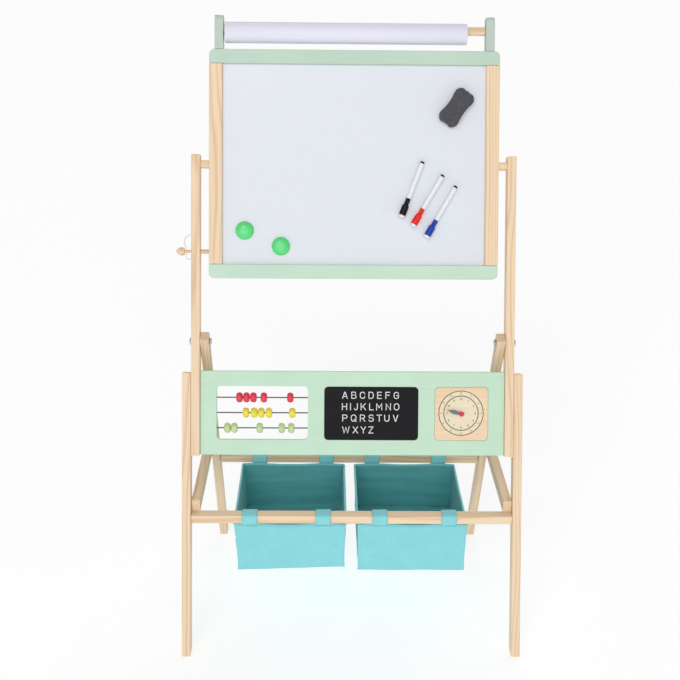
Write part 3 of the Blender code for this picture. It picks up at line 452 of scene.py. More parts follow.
def plain_fibre(name, colour, grain=1800, depth=0.0003, rough=0.9, sheen=0.1, mottle=0.1):
    """Felt, thread, cord and the like."""
    fibre = Finish(name)
    fine = fibre.noise(fibre.place, grain, 3, 0.7)
    clumps = fibre.noise(fibre.place, grain / 7, 3, 0.6)
    share = (fine * 0.6 + clumps * 0.4).ramp(0.3, 0.7)
    return fibre.done(
        Base_Color=fibre.mix(share, shade(colour, 1 - mottle), shade(colour, 1 + mottle)),
        Roughness=rough + fine * 0.08,
        Normal=fibre.bump(fine * 0.7 + clumps * 0.5, depth, 0.7),
        Sheen_Weight=sheen,
        Specular_IOR_Level=0.2,
    )


def paper_finish(name, colour):
    """Uncoated paper, with a fine tooth and a soft cloudiness."""
    paper = Finish(name)
    tooth = paper.noise(paper.place, 1900, 3)
    soft = paper.noise(paper.spread(paper.place, (6, 60, 60)), 1, 2)
    share = (tooth * 0.5 + soft * 0.5).ramp(0.3, 0.7)
    return paper.done(
        Base_Color=paper.mix(share, shade(colour, 0.975), shade(colour, 1.015)),
        Roughness=0.82 + tooth * 0.1,
        Normal=paper.bump(tooth, 0.00008, 0.35),
        Specular_IOR_Level=0.25,
    )


def matt_black(name):
    """Matt printed black, with a trace of chalk dust."""
    black = Finish(name)
    dust = black.noise(black.spread(black.place, (22, 60, 40)), 1, 4, 0.65).ramp(0.5, 0.85)
    tooth = black.noise(black.place, 2100, 2)
    return black.done(
        Base_Color=black.mix(dust * 0.16, colours().black, (0.10, 0.10, 0.11)),
        Roughness=0.55 + dust * 0.2,
        Normal=black.bump(tooth, 0.00008, 0.35),
        Specular_IOR_Level=0.12,
    )


def metal(name, colour, rough=0.28):
    """Plated steel with fine turning lines."""
    steel = Finish(name)
    lines = steel.noise(steel.spread(steel.place, (3000, 300, 300)), 1, 2)
    spots = steel.noise(steel.place, 420, 3).ramp(0.55, 0.8)
    return steel.done(
        Base_Color=steel.mix(spots * 0.5, colour, shade(colour, 0.7)),
        Roughness=rough + lines * 0.14 + spots * 0.12,
        Metallic=1.0,
        Normal=steel.bump(lines, 0.00005, 0.3),
    )


def printed_ink(name, colour):
    """Screen-printed ink, not quite even."""
    ink = Finish(name)
    thin = ink.noise(ink.place, 1500, 3).ramp(0.35, 0.75)
    return ink.done(
        Base_Color=ink.mix(thin, colour, shade(colour, 0.88)),
        Roughness=0.5 + thin * 0.15,
        Normal=ink.bump(thin, 0.00003, 0.3),
    )


# ---------------------------------------------------------------- shapes


def settle(name, shape, body, material, space=LEVEL, stands_for=(), sharp=32):
    """Makes a piece of a finished bmesh in the frame's own space; it rides on its body, if it has one."""
    bmesh.ops.recalc_face_normals(shape, faces=shape.faces)
    shape.transform(space)
    mesh = bpy.data.meshes.new(name)
    shape.to_mesh(mesh)
    shape.free()
    mesh.shade_smooth()
    mesh.set_sharp_from_angle(angle=math.radians(sharp))
    mesh.materials.append(material)
    made = bpy.data.objects.new(name, mesh)
    bpy.context.scene.collection.objects.link(made)
    if body:
        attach(made, body)
    if stands_for:
        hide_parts(*stands_for)
    return made


def paint_node(node, material):
    """A better finish on a CAD node whose shape is right."""
    data = frame["nodes"][node].data
    data.materials.clear()
    data.materials.append(material)


def lathe(shape, profile, steps, at=LEVEL, closed=False):
    """Adds a turned form: (radius, height) points spun about Z, then placed."""
    rings = []
    for radius, height in profile:
        count = 1 if radius == 0 else steps
        ring = []
        for i in range(count):
            turn = 2 * math.pi * i / steps
            point = Vector((radius * math.cos(turn), radius * math.sin(turn), height))
            ring.append(shape.verts.new(at @ point))
        rings.append(ring)
    pairs = list(zip(rings, rings[1:] + rings[:1]))
    for upper, lower in pairs if closed else pairs[:-1]:
        for i in range(steps):
            j = (i + 1) % steps
            corners = [upper[i % len(upper)], upper[j % len(upper)]]
            corners += [lower[j % len(lower)], lower[i % len(lower)]]
            shape.faces.new(list(dict.fromkeys(corners)))
    return shape


def arc(centre, radius, start, end, steps):
    """(radius, height) points of a round corner; angles in degrees from +radius towards +height."""
    points = []
    for i in range(steps + 1):
        turn = math.radians(start + (end - start) * i / steps)
        points.append((centre[0] + radius * math.cos(turn), centre[1] + radius * math.sin(turn)))
    return points


def upper_corner(radius, height, soft, steps=3):
    """The rounded outer corner at a turned form's upper end."""
    return arc((radius - soft, height - soft), soft, 90, 0, steps)


def lower_corner(radius, height, soft, steps=3):
    return arc((radius - soft, height + soft), soft, 0, -90, steps)


def rod(radius, low, high, soft=0.0006):
    """Profile of a solid rod with softened ends."""
    return [(0, high), *upper_corner(radius, high, soft), *lower_corner(radius, low, soft), (0, low)]


def lie_along_x(node):
    """Middle, radius and half length of a round node that runs along X, and its lathe's space."""
    low, high = span(node)
    centre = (low + high) / 2
    at = Matrix.Translation(centre) @ ALONG_X
    return centre, (high.z - low.z) / 2, (high.x - low.x) / 2, at


def skin(shape, rows, ringed=True, capped=False):
    """Adds the faces between rows of vertices; a ringed row closes on itself, and caps fill the ends."""
    for near, far in zip(rows, rows[1:]):
        for k in range(len(near) if ringed else len(near) - 1):
            j = (k + 1) % len(near)
            shape.faces.new((near[k], near[j], far[j], far[k]))
    if capped:
        shape.faces.new(list(reversed(rows[0])))
        shape.faces.new(rows[-1])


def slab(shape, outline, thick, soft, steps=3, at=LEVEL):
    """Adds a flat outline in X and Y, thick in Z about its middle, with softened edges."""
    start = len(shape.verts)
    low = [shape.verts.new((x, y, -thick / 2)) for x, y in outline]
    high = [shape.verts.new((x, y, thick / 2)) for x, y in outline]
    shape.faces.new(list(reversed(low)))
    shape.faces.new(high)
    count = len(outline)
    for i in range(count):
        j = (i + 1) % count
        shape.faces.new((low[i], low[j], high[j], high[i]))
    shape.verts.ensure_lookup_table()
    rims = [e for e in shape.edges if e.verts[0] in low and e.verts[1] in low]
    rims += [e for e in shape.edges if e.verts[0] in high and e.verts[1] in high]
    if soft:
        bmesh.ops.bevel(shape, geom=rims, offset=soft, segments=steps, profile=0.5, affect="EDGES")
    shape.verts.ensure_lookup_table()
    for vertex in shape.verts[start:]:
        vertex.co = at @ vertex.co
    return shape


def catmull(knots, count):
    """count points spread by parameter along a smooth curve through the knots."""
    knots = [Vector(knot) for knot in knots]
    padded = [2 * knots[0] - knots[1], *knots, 2 * knots[-1] - knots[-2]]
    spans = len(knots) - 1
    route = []
    for i in range(count):
        along = i * spans / (count - 1)
        here = min(int(along), spans - 1)
        t = along - here
        a, b, c, d = padded[here : here + 4]
        bend = 2 * a - 5 * b + 4 * c - d
        route.append(0.5 * (2 * b + (c - a) * t + bend * t**2 + (3 * b - a - 3 * c + d) * t**3))
    return route


def stitches(shape, route, lift, wide=0.0005):
    """Adds a row of stitches along points on a surface; lift points away from it."""
    size = sizes()
    pitch = size.stitch + size.stitch_gap
    travelled = 0.0
    for a, b in zip(route, route[1:]):
        run = b - a
        length = run.length
        while travelled < length:
            here = a + run * (travelled / length)
            add_stitch(shape, here, run.normalized(), lift, size.stitch, wide)
            travelled += pitch
        travelled -= length


# Along a stitch, and its height above the cloth there
STITCH_ARCH = ((0, -0.0002), (0.2, 0.00028), (0.5, 0.0004), (0.8, 0.00028), (1, -0.0002))


def add_stitch(shape, here, run, lift, length, wide):
    """One stitch: a short thread that rises from the cloth and goes back into it."""
    side = run.cross(lift).normalized() * wide / 2
    rows = []
    for share, rise in STITCH_ARCH:
        centre = here + run * (length * share) + lift * rise
        half = lift * wide * 0.4
        corners = (centre - side, centre + half, centre + side, centre - half)
        rows.append([shape.verts.new(corner) for corner in corners])
    skin(shape, rows, capped=True)


# ---------------------------------------------------------------- pieces


class EASEL_OT_timber(bpy.types.Operator):
    """Pine on the legs, uprights, rails and stiles, each cut from its own stretch of wood"""

    bl_idname = "easel.timber"
    bl_label = "Pine timbers"

    def execute(self, context):
        # The rear timbers are darkened as painted shade, and the side rails a little.
        painted_shade_tones = {"rear": 0.87, "side": 0.97, "front": 1.0, "upright": 1.0, "board": 1.0}
        names = ["front_rail", "rear_rail"]
        for stem in ("front_leg", "upright", "rear_leg", "side_rail", "board_stile"):
            names += [f"{stem}_{side}" for side, _ in SIDES]
        for seed, node in enumerate(names, 1):
            tone = painted_shade_tones[node.split("_")[0]]
            finish = pine(f"{node}_pine", lie_of(node), middle(node), seed, tone)
            paint_node(node, finish)
        return {"FINISHED"}


class EASEL_OT_painted(bpy.types.Operator):
    """Mint paint on the board's rails, the roll's posts and the activity panel"""

    bl_idname = "easel.painted"
    bl_label = "Painted wood"

    def execute(self, context):
        # The darker, greyer copies of the one mint paint on the top rail, and slightly on the bottom rail,
        # are painted shade.
        looks = {
            "board_top_rail": (0.90, 0.20),
            "board_bottom_rail": (0.99, 0.12),
            "activity_panel": (1.0, 0.0),
        }
        for seed, (node, (tone, grey)) in enumerate(looks.items()):
            paint_node(node, mint_paint(f"{node}_mint", RIGHT, seed, tone, grey))
        for side, _ in SIDES:
            # The posts' darker, greyer copy of the mint paint is painted shade.
            paint_node(f"roll_post_{side}", mint_paint(f"roll_post_{side}_mint", UP, 4, 0.84, 0.5))
        return {"FINISHED"}


class EASEL_OT_board_sheet(bpy.types.Operator):
    """The two-sided sheet of the flip board"""

    bl_idname = "easel.board_sheet"
    bl_label = "Board sheet"

    def execute(self, context):
        paint_node("board_sheet", board_coating())
        return {"FINISHED"}


class EASEL_OT_dowels(bpy.types.Operator):
    """The board's pivot dowels and the paper roll's dowel"""

    bl_idname = "easel.dowels"
    bl_label = "Dowels"

    def execute(self, context):
        steps = sizes().round_steps
        for seed, (side, _) in enumerate(SIDES, 20):
            node = f"pivot_dowel_{side}"
            low, high = span(node)
            centre = middle(node)
            radius = (span(node, BOARD)[1].z - span(node, BOARD)[0].z) / 2
            profile = rod(radius, low.x - centre.x, high.x - centre.x, 0.0008)
            shape = lathe(bmesh.new(), profile, steps, Matrix.Translation(centre) @ ALONG_X)
            wood = pine(f"{node}_pine", RIGHT, centre, seed)
            settle(f"{node}_turned", shape, "frame", wood, stands_for=[node])
        node = "roll_dowel"
        low, high = span(node)
        centre = middle(node)
        radius = (high.z - low.z) / 2
        tenon = 0.0040
        end_gap = 0.0005
        seat = span("roll_post_right")[0].x - end_gap
        half = high.x
        soft = 0.0007
        profile = [(0, half), *upper_corner(tenon, half, soft), (tenon, seat)]
        profile += upper_corner(radius, seat, soft) + lower_corner(radius, -seat, soft)
        profile += [(tenon, -seat), *lower_corner(tenon, -half, soft), (0, -half)]
        shape = lathe(bmesh.new(), profile, steps, Matrix.Translation(centre) @ ALONG_X)
        wood = pine("roll_dowel_pine", RIGHT, centre, 23)
        settle("roll_dowel_turned", shape, "dowel", wood, stands_for=[node])
        return {"FINISHED"}


ROLL_BORE = 0.012
CARD_WALL = 0.0012


class EASEL_OT_paper_roll(bpy.types.Operator):
    """The paper roll: a wound sheet with its loose edge, on a card core"""

    bl_idname = "easel.paper_roll"
    bl_label = "Paper roll"

    def execute(self, context):
        _, radius, half, at = lie_along_x("paper_roll")
        paper = paper_finish("drawing_paper", colours().paper)
        self.wind_sheet(radius, ROLL_BORE + CARD_WALL, half, at, paper)
        self.roll_core(half, at)
        return {"FINISHED"}

    def wind_sheet(self, radius, inside, half, at, paper):
        """Outer turns as one spiral, whose last edge lifts a little; the ends show a few turns."""
        steps = 96
        edge_thick = 0.00035
        edge_at = math.radians(205)
        loose_share = 0.035  # of a turn, that lifts by loose_lift at the end
        loose_lift = 0.0004
        skin_clear = 0.0005  # inside the CAD roll
        bevel, face_share = 0.0008, 0.97
        grooves_in_end = 6
        shape = bmesh.new()
        lines = []
        for i in range(steps + 1):
            share = i / steps
            loose = max(0.0, (share - (1 - loose_share)) / loose_share)
            lift = edge_thick * share + loose_lift * loose**2
            reach = radius - edge_thick - skin_clear + lift
            turn = edge_at + 2 * math.pi * share
            lines.append((reach * math.cos(turn), reach * math.sin(turn)))
        ends = []
        for end in (-half, half):
            inset = math.copysign(bevel, end)
            ring = [shape.verts.new((x, y, end - inset)) for x, y in lines]
            face = [shape.verts.new((x * face_share, y * face_share, end)) for x, y in lines]
            grooves = []
            for k in range(1, grooves_in_end + 1):
                shrink = face_share + (inside / radius - face_share) * k / grooves_in_end
                dip = inset * (0.35 if k % 2 else 0.0)
                grooves.append([shape.verts.new((x * shrink, y * shrink, end - dip)) for x, y in lines])
            ends.append([ring, face, *grooves])
        rows = [*reversed(ends[0]), *ends[1]]
        rows.append(rows[0])
        for near, far in zip(rows, rows[1:]):
            for i in range(steps):
                shape.faces.new((near[i], near[i + 1], far[i + 1], far[i]))
            if (near[-1].co - near[0].co).length > 1e-7:
                shape.faces.new((near[-1], near[0], far[0], far[-1]))
        settle("paper_roll_wound", shape, "roll", paper, at, ["paper_roll"], 40)

    def roll_core(self, half, at):
        """A card tube that shows inside the paper."""
        reach = half - 0.0005
        soft = 0.0003
        outer = ROLL_BORE + CARD_WALL
        profile = upper_corner(outer, reach, soft, 2) + lower_corner(outer, -reach, soft, 2)
        profile += arc((ROLL_BORE + soft, soft - reach), soft, -90, -180, 2)
        profile += arc((ROLL_BORE + soft, reach - soft), soft, 180, 90, 2)
        shape = lathe(bmesh.new(), profile, sizes().round_steps, LEVEL, closed=True)
        card = plain_fibre("roll_card", colours().card, 1500, 0.0001, 0.85, 0.0, 0.12)
        settle("paper_roll_core", shape, "roll", card, at)


class EASEL_OT_beads(bpy.types.Operator):
    """Turned wooden beads in gloss paint, and the wires that they slide on"""

    bl_idname = "easel.beads"
    bl_label = "Beads and wires"

    def execute(self, context):
        paints = {"red": colours().red, "yellow": colours().yellow, "green": colours().pale_green}
        steel = metal("bead_wire_steel", colours().wire, 0.35)
        for row, colour in paints.items():
            paint = gloss_paint(f"{row}_bead_paint", colour, 0.3)
            for number in range(1, 6):
                self.turn_bead(f"bead_{row}_{number}", f"{row}_bead_{number}", row, paint)
            node = f"bead_wire_{row}"
            _, radius, half, at = lie_along_x(node)
            shape = lathe(bmesh.new(), rod(radius, -half, half, 0.0002), 20, at)
            settle(f"{node}_drawn", shape, "frame", steel, stands_for=[node])
        return {"FINISHED"}

    def turn_bead(self, node, body, row, paint):
        _, radius, half, at = lie_along_x(node)
        bore = 0.0015
        lip = 0.0036
        profile = [(bore, half - 0.0006), (bore + 0.0004, half - 0.0001), (lip, half)]
        for i in range(1, 16):
            turn = math.pi * i / 16
            reach = lip + (radius - lip) * math.sin(turn) ** 0.82
            profile.append((reach, half * math.cos(turn)))
        profile += [(lip, -half), (bore + 0.0004, 0.0001 - half), (bore, 0.0006 - half)]
        shape = lathe(bmesh.new(), profile, 40, at, closed=True)
        settle(f"{node}_painted", shape, body, paint, stands_for=[node], sharp=50)


def rounded_outline(wide, high, corner, steps=6):
    """Outline of a rectangle with round corners, about its middle."""
    outline = []
    for sx, sy, start in ((1, 1, 0), (-1, 1, 90), (-1, -1, 180), (1, -1, 270)):
        centre = (sx * (wide / 2 - corner), sy * (high / 2 - corner))
        outline += arc(centre, corner, start, start + 90, steps)
    return outline


# Plain upright letters and figures as strokes on a grid 8 high. A corner is x,y or, where it is
# rounded, x,y,radius.
STROKES = {
    "A": "0,0 2.7,8 3.3,8 6,0|1,2.5 5,2.5",
    "B": "0,0 0,8 5.2,8,1.9 5.2,4.3,1.8 0,4.3|0,4.3 5.6,4.3,2 5.6,0,2 0,0",
    "C": "5.8,6 5.8,8,2.6 0,8,2.8 0,0,2.8 5.8,0,2.6 5.8,2",
    "D": "0,0 0,8 5.7,8,2.8 5.7,0,2.8 0,0",
    "E": "5,8 0,8 0,0 5,0|0,4.2 4.5,4.2",
    "F": "5,8 0,8 0,0|0,4.2 4.4,4.2",
    "G": "5.8,6.1 5.8,8,2.6 0,8,2.8 0,0,2.8 5.8,0,2.6 5.8,3.8 3.3,3.8",
    "H": "0,0 0,8|5.6,0 5.6,8|0,4.1 5.6,4.1",
    "I": "0,0 0,8",
    "J": "4,8 4,0,2.2 0,0,1.8 0,1.6",
    "K": "0,0 0,8|5.6,8 0,2.6|2.2,4.9 5.8,0",
    "L": "0,8 0,0 4.8,0",
    "M": "0,0 0,8 3.3,2.8 6.6,8 6.6,0",
    "N": "0,0 0,8 5.6,0 5.6,8",
    "O": "0,4 0,8,2.8 6,8,2.8 6,0,2.8 0,0,2.8 0,4",
    "P": "0,0 0,8 5.6,8,2.1 5.6,3.7,2.1 0,3.7",
    "Q": "0,4 0,8,2.8 6,8,2.8 6,0,2.8 0,0,2.8 0,4|3.7,2.2 6.3,-0.4",
    "R": "0,0 0,8 5.6,8,2.1 5.6,3.8,2.1 0,3.8|3,3.8 5.8,0",
    "S": "5.5,6.6 5.5,8,1.9 0.1,8,1.9 0.1,4.2,1.8 5.6,4.2,1.8 5.6,0,1.9 0,0,1.9 0,1.4",
    "T": "0,8 6,8|3,0 3,8",
    "U": "0,8 0,0,2.8 5.8,0,2.8 5.8,8",
    "V": "0,8 2.7,0 3.1,0 5.8,8",
    "W": "0,8 1.9,0 4.2,7.2 6.5,0 8.4,8",
    "X": "0,0 5.8,8|0,8 5.8,0",
    "Y": "0,8 3,3.8 6,8|3,3.8 3,0",
    "Z": "0,8 5.4,8 0,0 5.4,0",
    "0": "0,4 0,8,2.3 4.8,8,2.3 4.8,0,2.3 0,0,2.3 0,4",
    "1": "0,6.4 1.8,8 1.8,0",
    "2": "0,6.4 0,8,1.5 4.8,8,2.2 4.8,4.4,2 0,0 4.9,0",
    "3": "0,8 4.8,8 2.2,4.8 4.9,4.8,1.9 4.9,0,2.2 0,0,1.9 0,1.4",
    "4": "3,8 0,2.2 5,2.2|3.6,4 3.6,0",
    "5": "4.6,8 0.5,8 0.2,4.8 4.8,4.8,2.2 4.8,0,2.2 0,0,1.9 0,1.2",
    "6": "3.2,8 0,4.2,2 0,0,2.2 4.8,0,2.2 4.8,4.7,2.2 0.6,4.7",
    "7": "0,8 4.8,8 1.6,0",
    "8": "2.4,4.3 0.4,4.3,1.7 0.4,8,1.7 4.4,8,1.7 4.4,4.3,1.7 2.4,4.3"
    "|2.4,4.3 0,4.3,2 0,0,2 4.8,0,2 4.8,4.3,2 2.4,4.3",
    "9": "1.6,0 4.8,3.8,2 4.8,8,2.2 0,8,2.2 0,3.3,2.2 4.2,3.3",
}
GRID_HIGH = 8
LETTER_ROWS = (
    ("ABCDEFG", 0.0293, (-0.0123, 0.0020, 0.0158, 0.0296, 0.0429, 0.0562, 0.0700)),
    ("HIJKLMNO", 0.0109, (-0.0129, -0.0033, 0.0052, 0.0172, 0.0302, 0.0426, 0.0573, 0.0705)),
    ("PQRSTUV", -0.0074, (-0.0123, 0.0020, 0.0161, 0.0299, 0.0429, 0.0551, 0.0690)),
    ("WXYZ", -0.0264, (-0.0105, 0.0047, 0.0174, 0.0296)),
)


def corner_points(corners):
    """The points of a stroke, with its rounded corners worked out."""
    points = []
    for i, corner in enumerate(corners):
        here = Vector(corner[:2])
        if len(corner) == 2:
            points.append(here)
            continue
        before = (Vector(corners[i - 1][:2]) - here).normalized()
        after = (Vector(corners[i + 1][:2]) - here).normalized()
        angle = before.angle(after)
        centre = here + (before + after).normalized() * (corner[2] / math.sin(angle / 2))
        start = here + before * (corner[2] / math.tan(angle / 2)) - centre
        end = here + after * (corner[2] / math.tan(angle / 2)) - centre
        sweep = start.angle_signed(end)
        points += [centre + Matrix.Rotation(-sweep * k / 6, 2) @ start for k in range(7)]
    return points


def strokes_of(letter):
    return [
        corner_points([tuple(map(float, corner.split(","))) for corner in stroke.split()])
        for stroke in STROKES[letter].split("|")
    ]


def ribbon(shape, points, wide, thick, at):
    """Adds a flat raised line along points, mitred at its corners."""
    rows = []
    last = len(points) - 1
    for i, point in enumerate(points):
        before = (point - points[max(i - 1, 0)]) if i else points[1] - point
        after = (points[min(i + 1, last)] - point) if i < last else point - points[i - 1]
        ends = [Vector((-run.y, run.x)).normalized() for run in (before, after)]
        side = (ends[0] + ends[1]).normalized()
        side *= wide / 2 / max(0.5, side.dot(ends[0]))
        reach = before.normalized() * wide / 2 * (1 if i == last else -1 if i == 0 else 0)
        corners = (side, -side)
        flat = [point + reach + corner for corner in corners]
        low = [shape.verts.new(at @ Vector((p.x, p.y, -thick))) for p in flat]
        high = [shape.verts.new(at @ Vector((p.x, p.y, thick))) for p in reversed(flat)]
        rows.append(low + high)
    skin(shape, rows, capped=True)


def add_words(shape, words, high, stroke, thick, at):
    """Adds letters side by side about a middle."""
    unit = (high - stroke) / GRID_HIGH
    gap = stroke + 1.4 * unit
    laid = []
    cursor = 0.0
    for letter in words:
        strokes = strokes_of(letter)
        reach = max(point.x for line in strokes for point in line) * unit
        laid += [[point * unit + Vector((cursor, 0)) for point in line] for line in strokes]
        cursor += reach + gap
    middle_of = Vector(((cursor - gap) / 2, GRID_HIGH * unit / 2))
    for line in laid:
        ribbon(shape, [point - middle_of for point in line], stroke, thick, at)


class EASEL_OT_letter_board(bpy.types.Operator):
    """The black letter board and its raised white capitals"""

    bl_idname = "easel.letter_board"
    bl_label = "Letter board"

    def execute(self, context):
        size = sizes()
        paint_node("letter_board", matt_black("letter_board_black"))
        face = span("letter_board", CLOCK)[0].y
        shape = bmesh.new()
        for words, lift, places in LETTER_ROWS:
            for letter, x in zip(words, places):
                at = Matrix.Translation((x - CLOCK.translation.x, face, lift)) @ OUT_OF_FACE
                add_words(shape, letter, size.letter_height, size.letter_stroke, 0.0001, at)
        ink = printed_ink("letter_ink", colours().ink)
        settle("letter_board_capitals", shape, "frame", ink, CLOCK)
        return {"FINISHED"}


class EASEL_OT_clock(bpy.types.Operator):
    """The clock's plywood plate, printed dial, two hands and pin"""

    bl_idname = "easel.clock"
    bl_label = "Clock"

    def execute(self, context):
        face = span("clock_plate", CLOCK)[0].y
        self.dial_at = Vector((-0.0006, face, 0.0012))
        paint_node("clock_plate", self.plywood())
        self.print_dial()
        self.cut_hands()
        self.turn_pin()
        return {"FINISHED"}

    def plywood(self):
        """Fine-grained pale plywood under a thin clear disc of varnish that lies inside the dial."""
        ply = Finish("clock_plate_ply")
        rel = ply.vector("SUBTRACT", ply.place, tuple(CLOCK @ self.dial_at))
        grain = ply.spread(rel, (26, 700, 700))
        fibre = ply.noise(grain, 1, 3, 0.6)
        figure = ply.noise(ply.spread(rel, (9, 130, 130)), 1, 2)
        from_middle = ply.vector("LENGTH", rel, (0, 0, 0), "Value")
        outside = from_middle.ramp(sizes().dial_outer - 0.0004, sizes().dial_outer + 0.0004)
        share = (fibre * 0.5 + figure * 0.5).ramp(0.25, 0.8)
        bare = ply.mix(share, shade(colours().pine, 1.03), (0.80, 0.57, 0.36))
        varnished = ply.mix(share, (0.88, 0.79, 0.58), (0.80, 0.68, 0.47))
        return ply.done(
            Base_Color=ply.mix(outside, varnished, bare),
            Roughness=0.40 + fibre * 0.2,
            Normal=ply.bump(fibre, 0.00008, 0.35),
            Specular_IOR_Level=0.3,
        )

    def print_dial(self):
        """Two circles, minute dots between them, hour dashes and figures inside."""
        size = sizes()
        shape = bmesh.new()
        out = Matrix.Translation(self.dial_at) @ OUT_OF_FACE
        thick = 0.00006
        for radius in (size.dial_outer, size.dial_inner):
            half = size.dial_line / 2
            ring = [(radius - half, thick), (radius + half, thick)]
            ring += [(radius + half, -thick), (radius - half, -thick)]
            lathe(shape, ring, 96, out, closed=True)
        for minute in range(60):
            turn = math.radians(90 - minute * 6)
            on_hour = minute % 5 == 0
            start = Vector((math.cos(turn), math.sin(turn))) * (size.dial_inner + 0.0009)
            dash = Vector((math.cos(turn), math.sin(turn))) * (0.0016 if on_hour else 0.0009)
            ribbon(shape, [start, start + dash], 0.0003, thick, out)
            if on_hour:
                self.add_figure(shape, str(minute or 60), size.dial_outer - 0.0030, 0.0022, turn, out)
                hour = str(minute // 5 or 12)
                self.add_figure(shape, hour, size.dial_inner - 0.0046, 0.0036, turn, out)
        ink = printed_ink("dial_print", colours().dial_ink)
        settle("clock_dial_print", shape, "frame", ink, CLOCK)

    def add_figure(self, shape, words, radius, high, turn, out):
        place = Matrix.Translation((radius * math.cos(turn), radius * math.sin(turn), 0))
        add_words(shape, words, high, high * 0.15, 0.00006, out @ place)

    def cut_hands(self):
        """Leaf-shaped hands with a round eye, lying where the CAD hands lie."""
        angle = math.radians(165.5)
        looks = (
            ("hour_hand", "hour", colours().slate, 0.0225, 0.0032, "slate_paint"),
            ("minute_hand", "minute", colours().red, 0.0255, 0.0014, "red_hand"),
        )
        for node, body, colour, length, half, slot in looks:
            low, high = span(node, CLOCK)
            eye = 0.0038
            outline = []
            for i in range(13):
                turn = math.radians(40 + 280 * i / 12)
                outline.append((eye * math.cos(turn), eye * math.sin(turn)))
            leaf = []
            for i in range(1, 12):
                share = i / 12
                swell = math.sin(math.pi * share**0.9) ** 0.8
                leaf.append((eye * 0.9 + (length - eye * 0.9) * share, half * (0.35 + 0.65 * swell)))
            tip = [(x, y * (1 - (x / length) ** 6)) for x, y in leaf]
            outline += [(x, -y) for x, y in tip] + [(length, 0)] + [(x, y) for x, y in reversed(tip)]
            thick = high.y - low.y
            at = Matrix.Translation((0, (low.y + high.y) / 2, 0)) @ OUT_OF_FACE
            at = at @ Matrix.Rotation(angle, 4, "Z")
            shape = slab(bmesh.new(), outline, thick, thick * 0.25, 2, at)
            paint = gloss_paint(f"{node}_paint", colour, 0.45)
            settle(f"{node}_cut", shape, body, paint, CLOCK, [node])

    def turn_pin(self):
        low, high = span("clock_pin", CLOCK)
        head = (high.x - low.x) / 2
        back = span("hour_hand", CLOCK)[0].y - low.y - 0.0004
        profile = [(0, -low.y)]
        for degrees in range(12, 79, 11):
            turn = math.radians(degrees)
            profile.append((head * math.sin(turn), -low.y - back * (1 - math.cos(turn))))
        profile += [(head, -low.y - back), (0.0015, -low.y - back), (0.0015, -high.y), (0, -high.y)]
        shape = lathe(bmesh.new(), profile, 32, OUT_OF_FACE)
        plastic = gloss_paint("clock_pin_plastic", shade(colours().red, 0.85), 0.3)
        settle("clock_pin_head", shape, "frame", plastic, CLOCK, ["clock_pin"])


class EASEL_OT_magnets(bpy.types.Operator):
    """Two domed magnets with a moulded rim"""

    bl_idname = "easel.magnets"
    bl_label = "Magnets"

    def execute(self, context):
        plastic = gloss_paint("magnet_plastic", colours().magnet, 0.16, 0.03)
        for side, _ in SIDES:
            node = f"magnet_{side}"
            low, high = span(node, BOARD)
            radius = (high.x - low.x) / 2
            tall = high.y - low.y
            rim = 0.0026
            dome_steps, dome_end, dome_share = 12, 82, 0.93
            profile = [(0, tall)]
            for i in range(1, dome_steps + 1):
                turn = math.radians(i * dome_end / dome_steps)
                reach = radius * dome_share * math.sin(turn)
                profile.append((reach, rim + (tall - rim) * math.cos(turn)))
            profile += [(radius * 0.935, rim - 0.0002)]
            profile += upper_corner(radius, rim - 0.0004, 0.0007) + lower_corner(radius, 0, 0.0005)
            profile += [(radius * 0.7, 0), (radius * 0.68, 0.0004), (0, 0.0004)]
            centre = Vector(((low.x + high.x) / 2, high.y, (low.z + high.z) / 2))
            at = Matrix.Translation(centre) @ OUT_OF_FACE
            shape = lathe(bmesh.new(), profile, 56, at)
            settle(f"{node}_dome", shape, f"{side}_magnet", plastic, BOARD, [node])
        return {"FINISHED"}


class EASEL_OT_eraser(bpy.types.Operator):
    """The four-lobed felt eraser, in two layers of felt"""

    bl_idname = "easel.eraser"
    bl_label = "Eraser"

    def execute(self, context):
        low, high = span("eraser", BOARD)
        centre = (low + high) / 2
        thick = high.y - low.y
        lean = math.radians(90 - 35.5)
        turn = Matrix.Translation(centre) @ OUT_OF_FACE @ Matrix.Rotation(lean, 4, "Z")
        outline = self.outline()
        felt = plain_fibre("eraser_felt", colours().felt, 1500, 0.0005, 0.92, 0.2, 0.3)
        shape = bmesh.new()
        # Middle and thickness of each layer, as shares of the whole, and the rounding of its edge
        layers = ((0.252, 0.44, 0.0024), (-0.252, 0.40, 0.0010))
        for offset, share, soft in layers:
            at = turn @ Matrix.Translation((0, 0, thick * offset))
            slab(shape, outline, thick * share, soft, 4, at)
        settle("eraser_block_felt", shape, "eraser_block", felt, BOARD, ["eraser"], 60)
        return {"FINISHED"}

    def outline(self):
        """Four lobes joined by shallow waists, as a smooth closed curve."""
        quarter = ((0.0278, 0.0), (0.0306, 0.0090), (0.0225, 0.0166), (0.0110, 0.0152), (0.0, 0.0146))
        knots = [*quarter, *[(-x, y) for x, y in reversed(quarter[:-1])]]
        knots += [(-x, -y) for x, y in quarter[1:]] + [(x, -y) for x, y in reversed(quarter[1:-1])]
        closed = [Vector((x, y, 0)) for x, y in knots]
        loop = closed[-1:] + closed + closed[:2]
        route = catmull(loop, (len(loop) - 1) * 6 + 1)
        return [(p.x, p.y) for p in route[6:-12]]


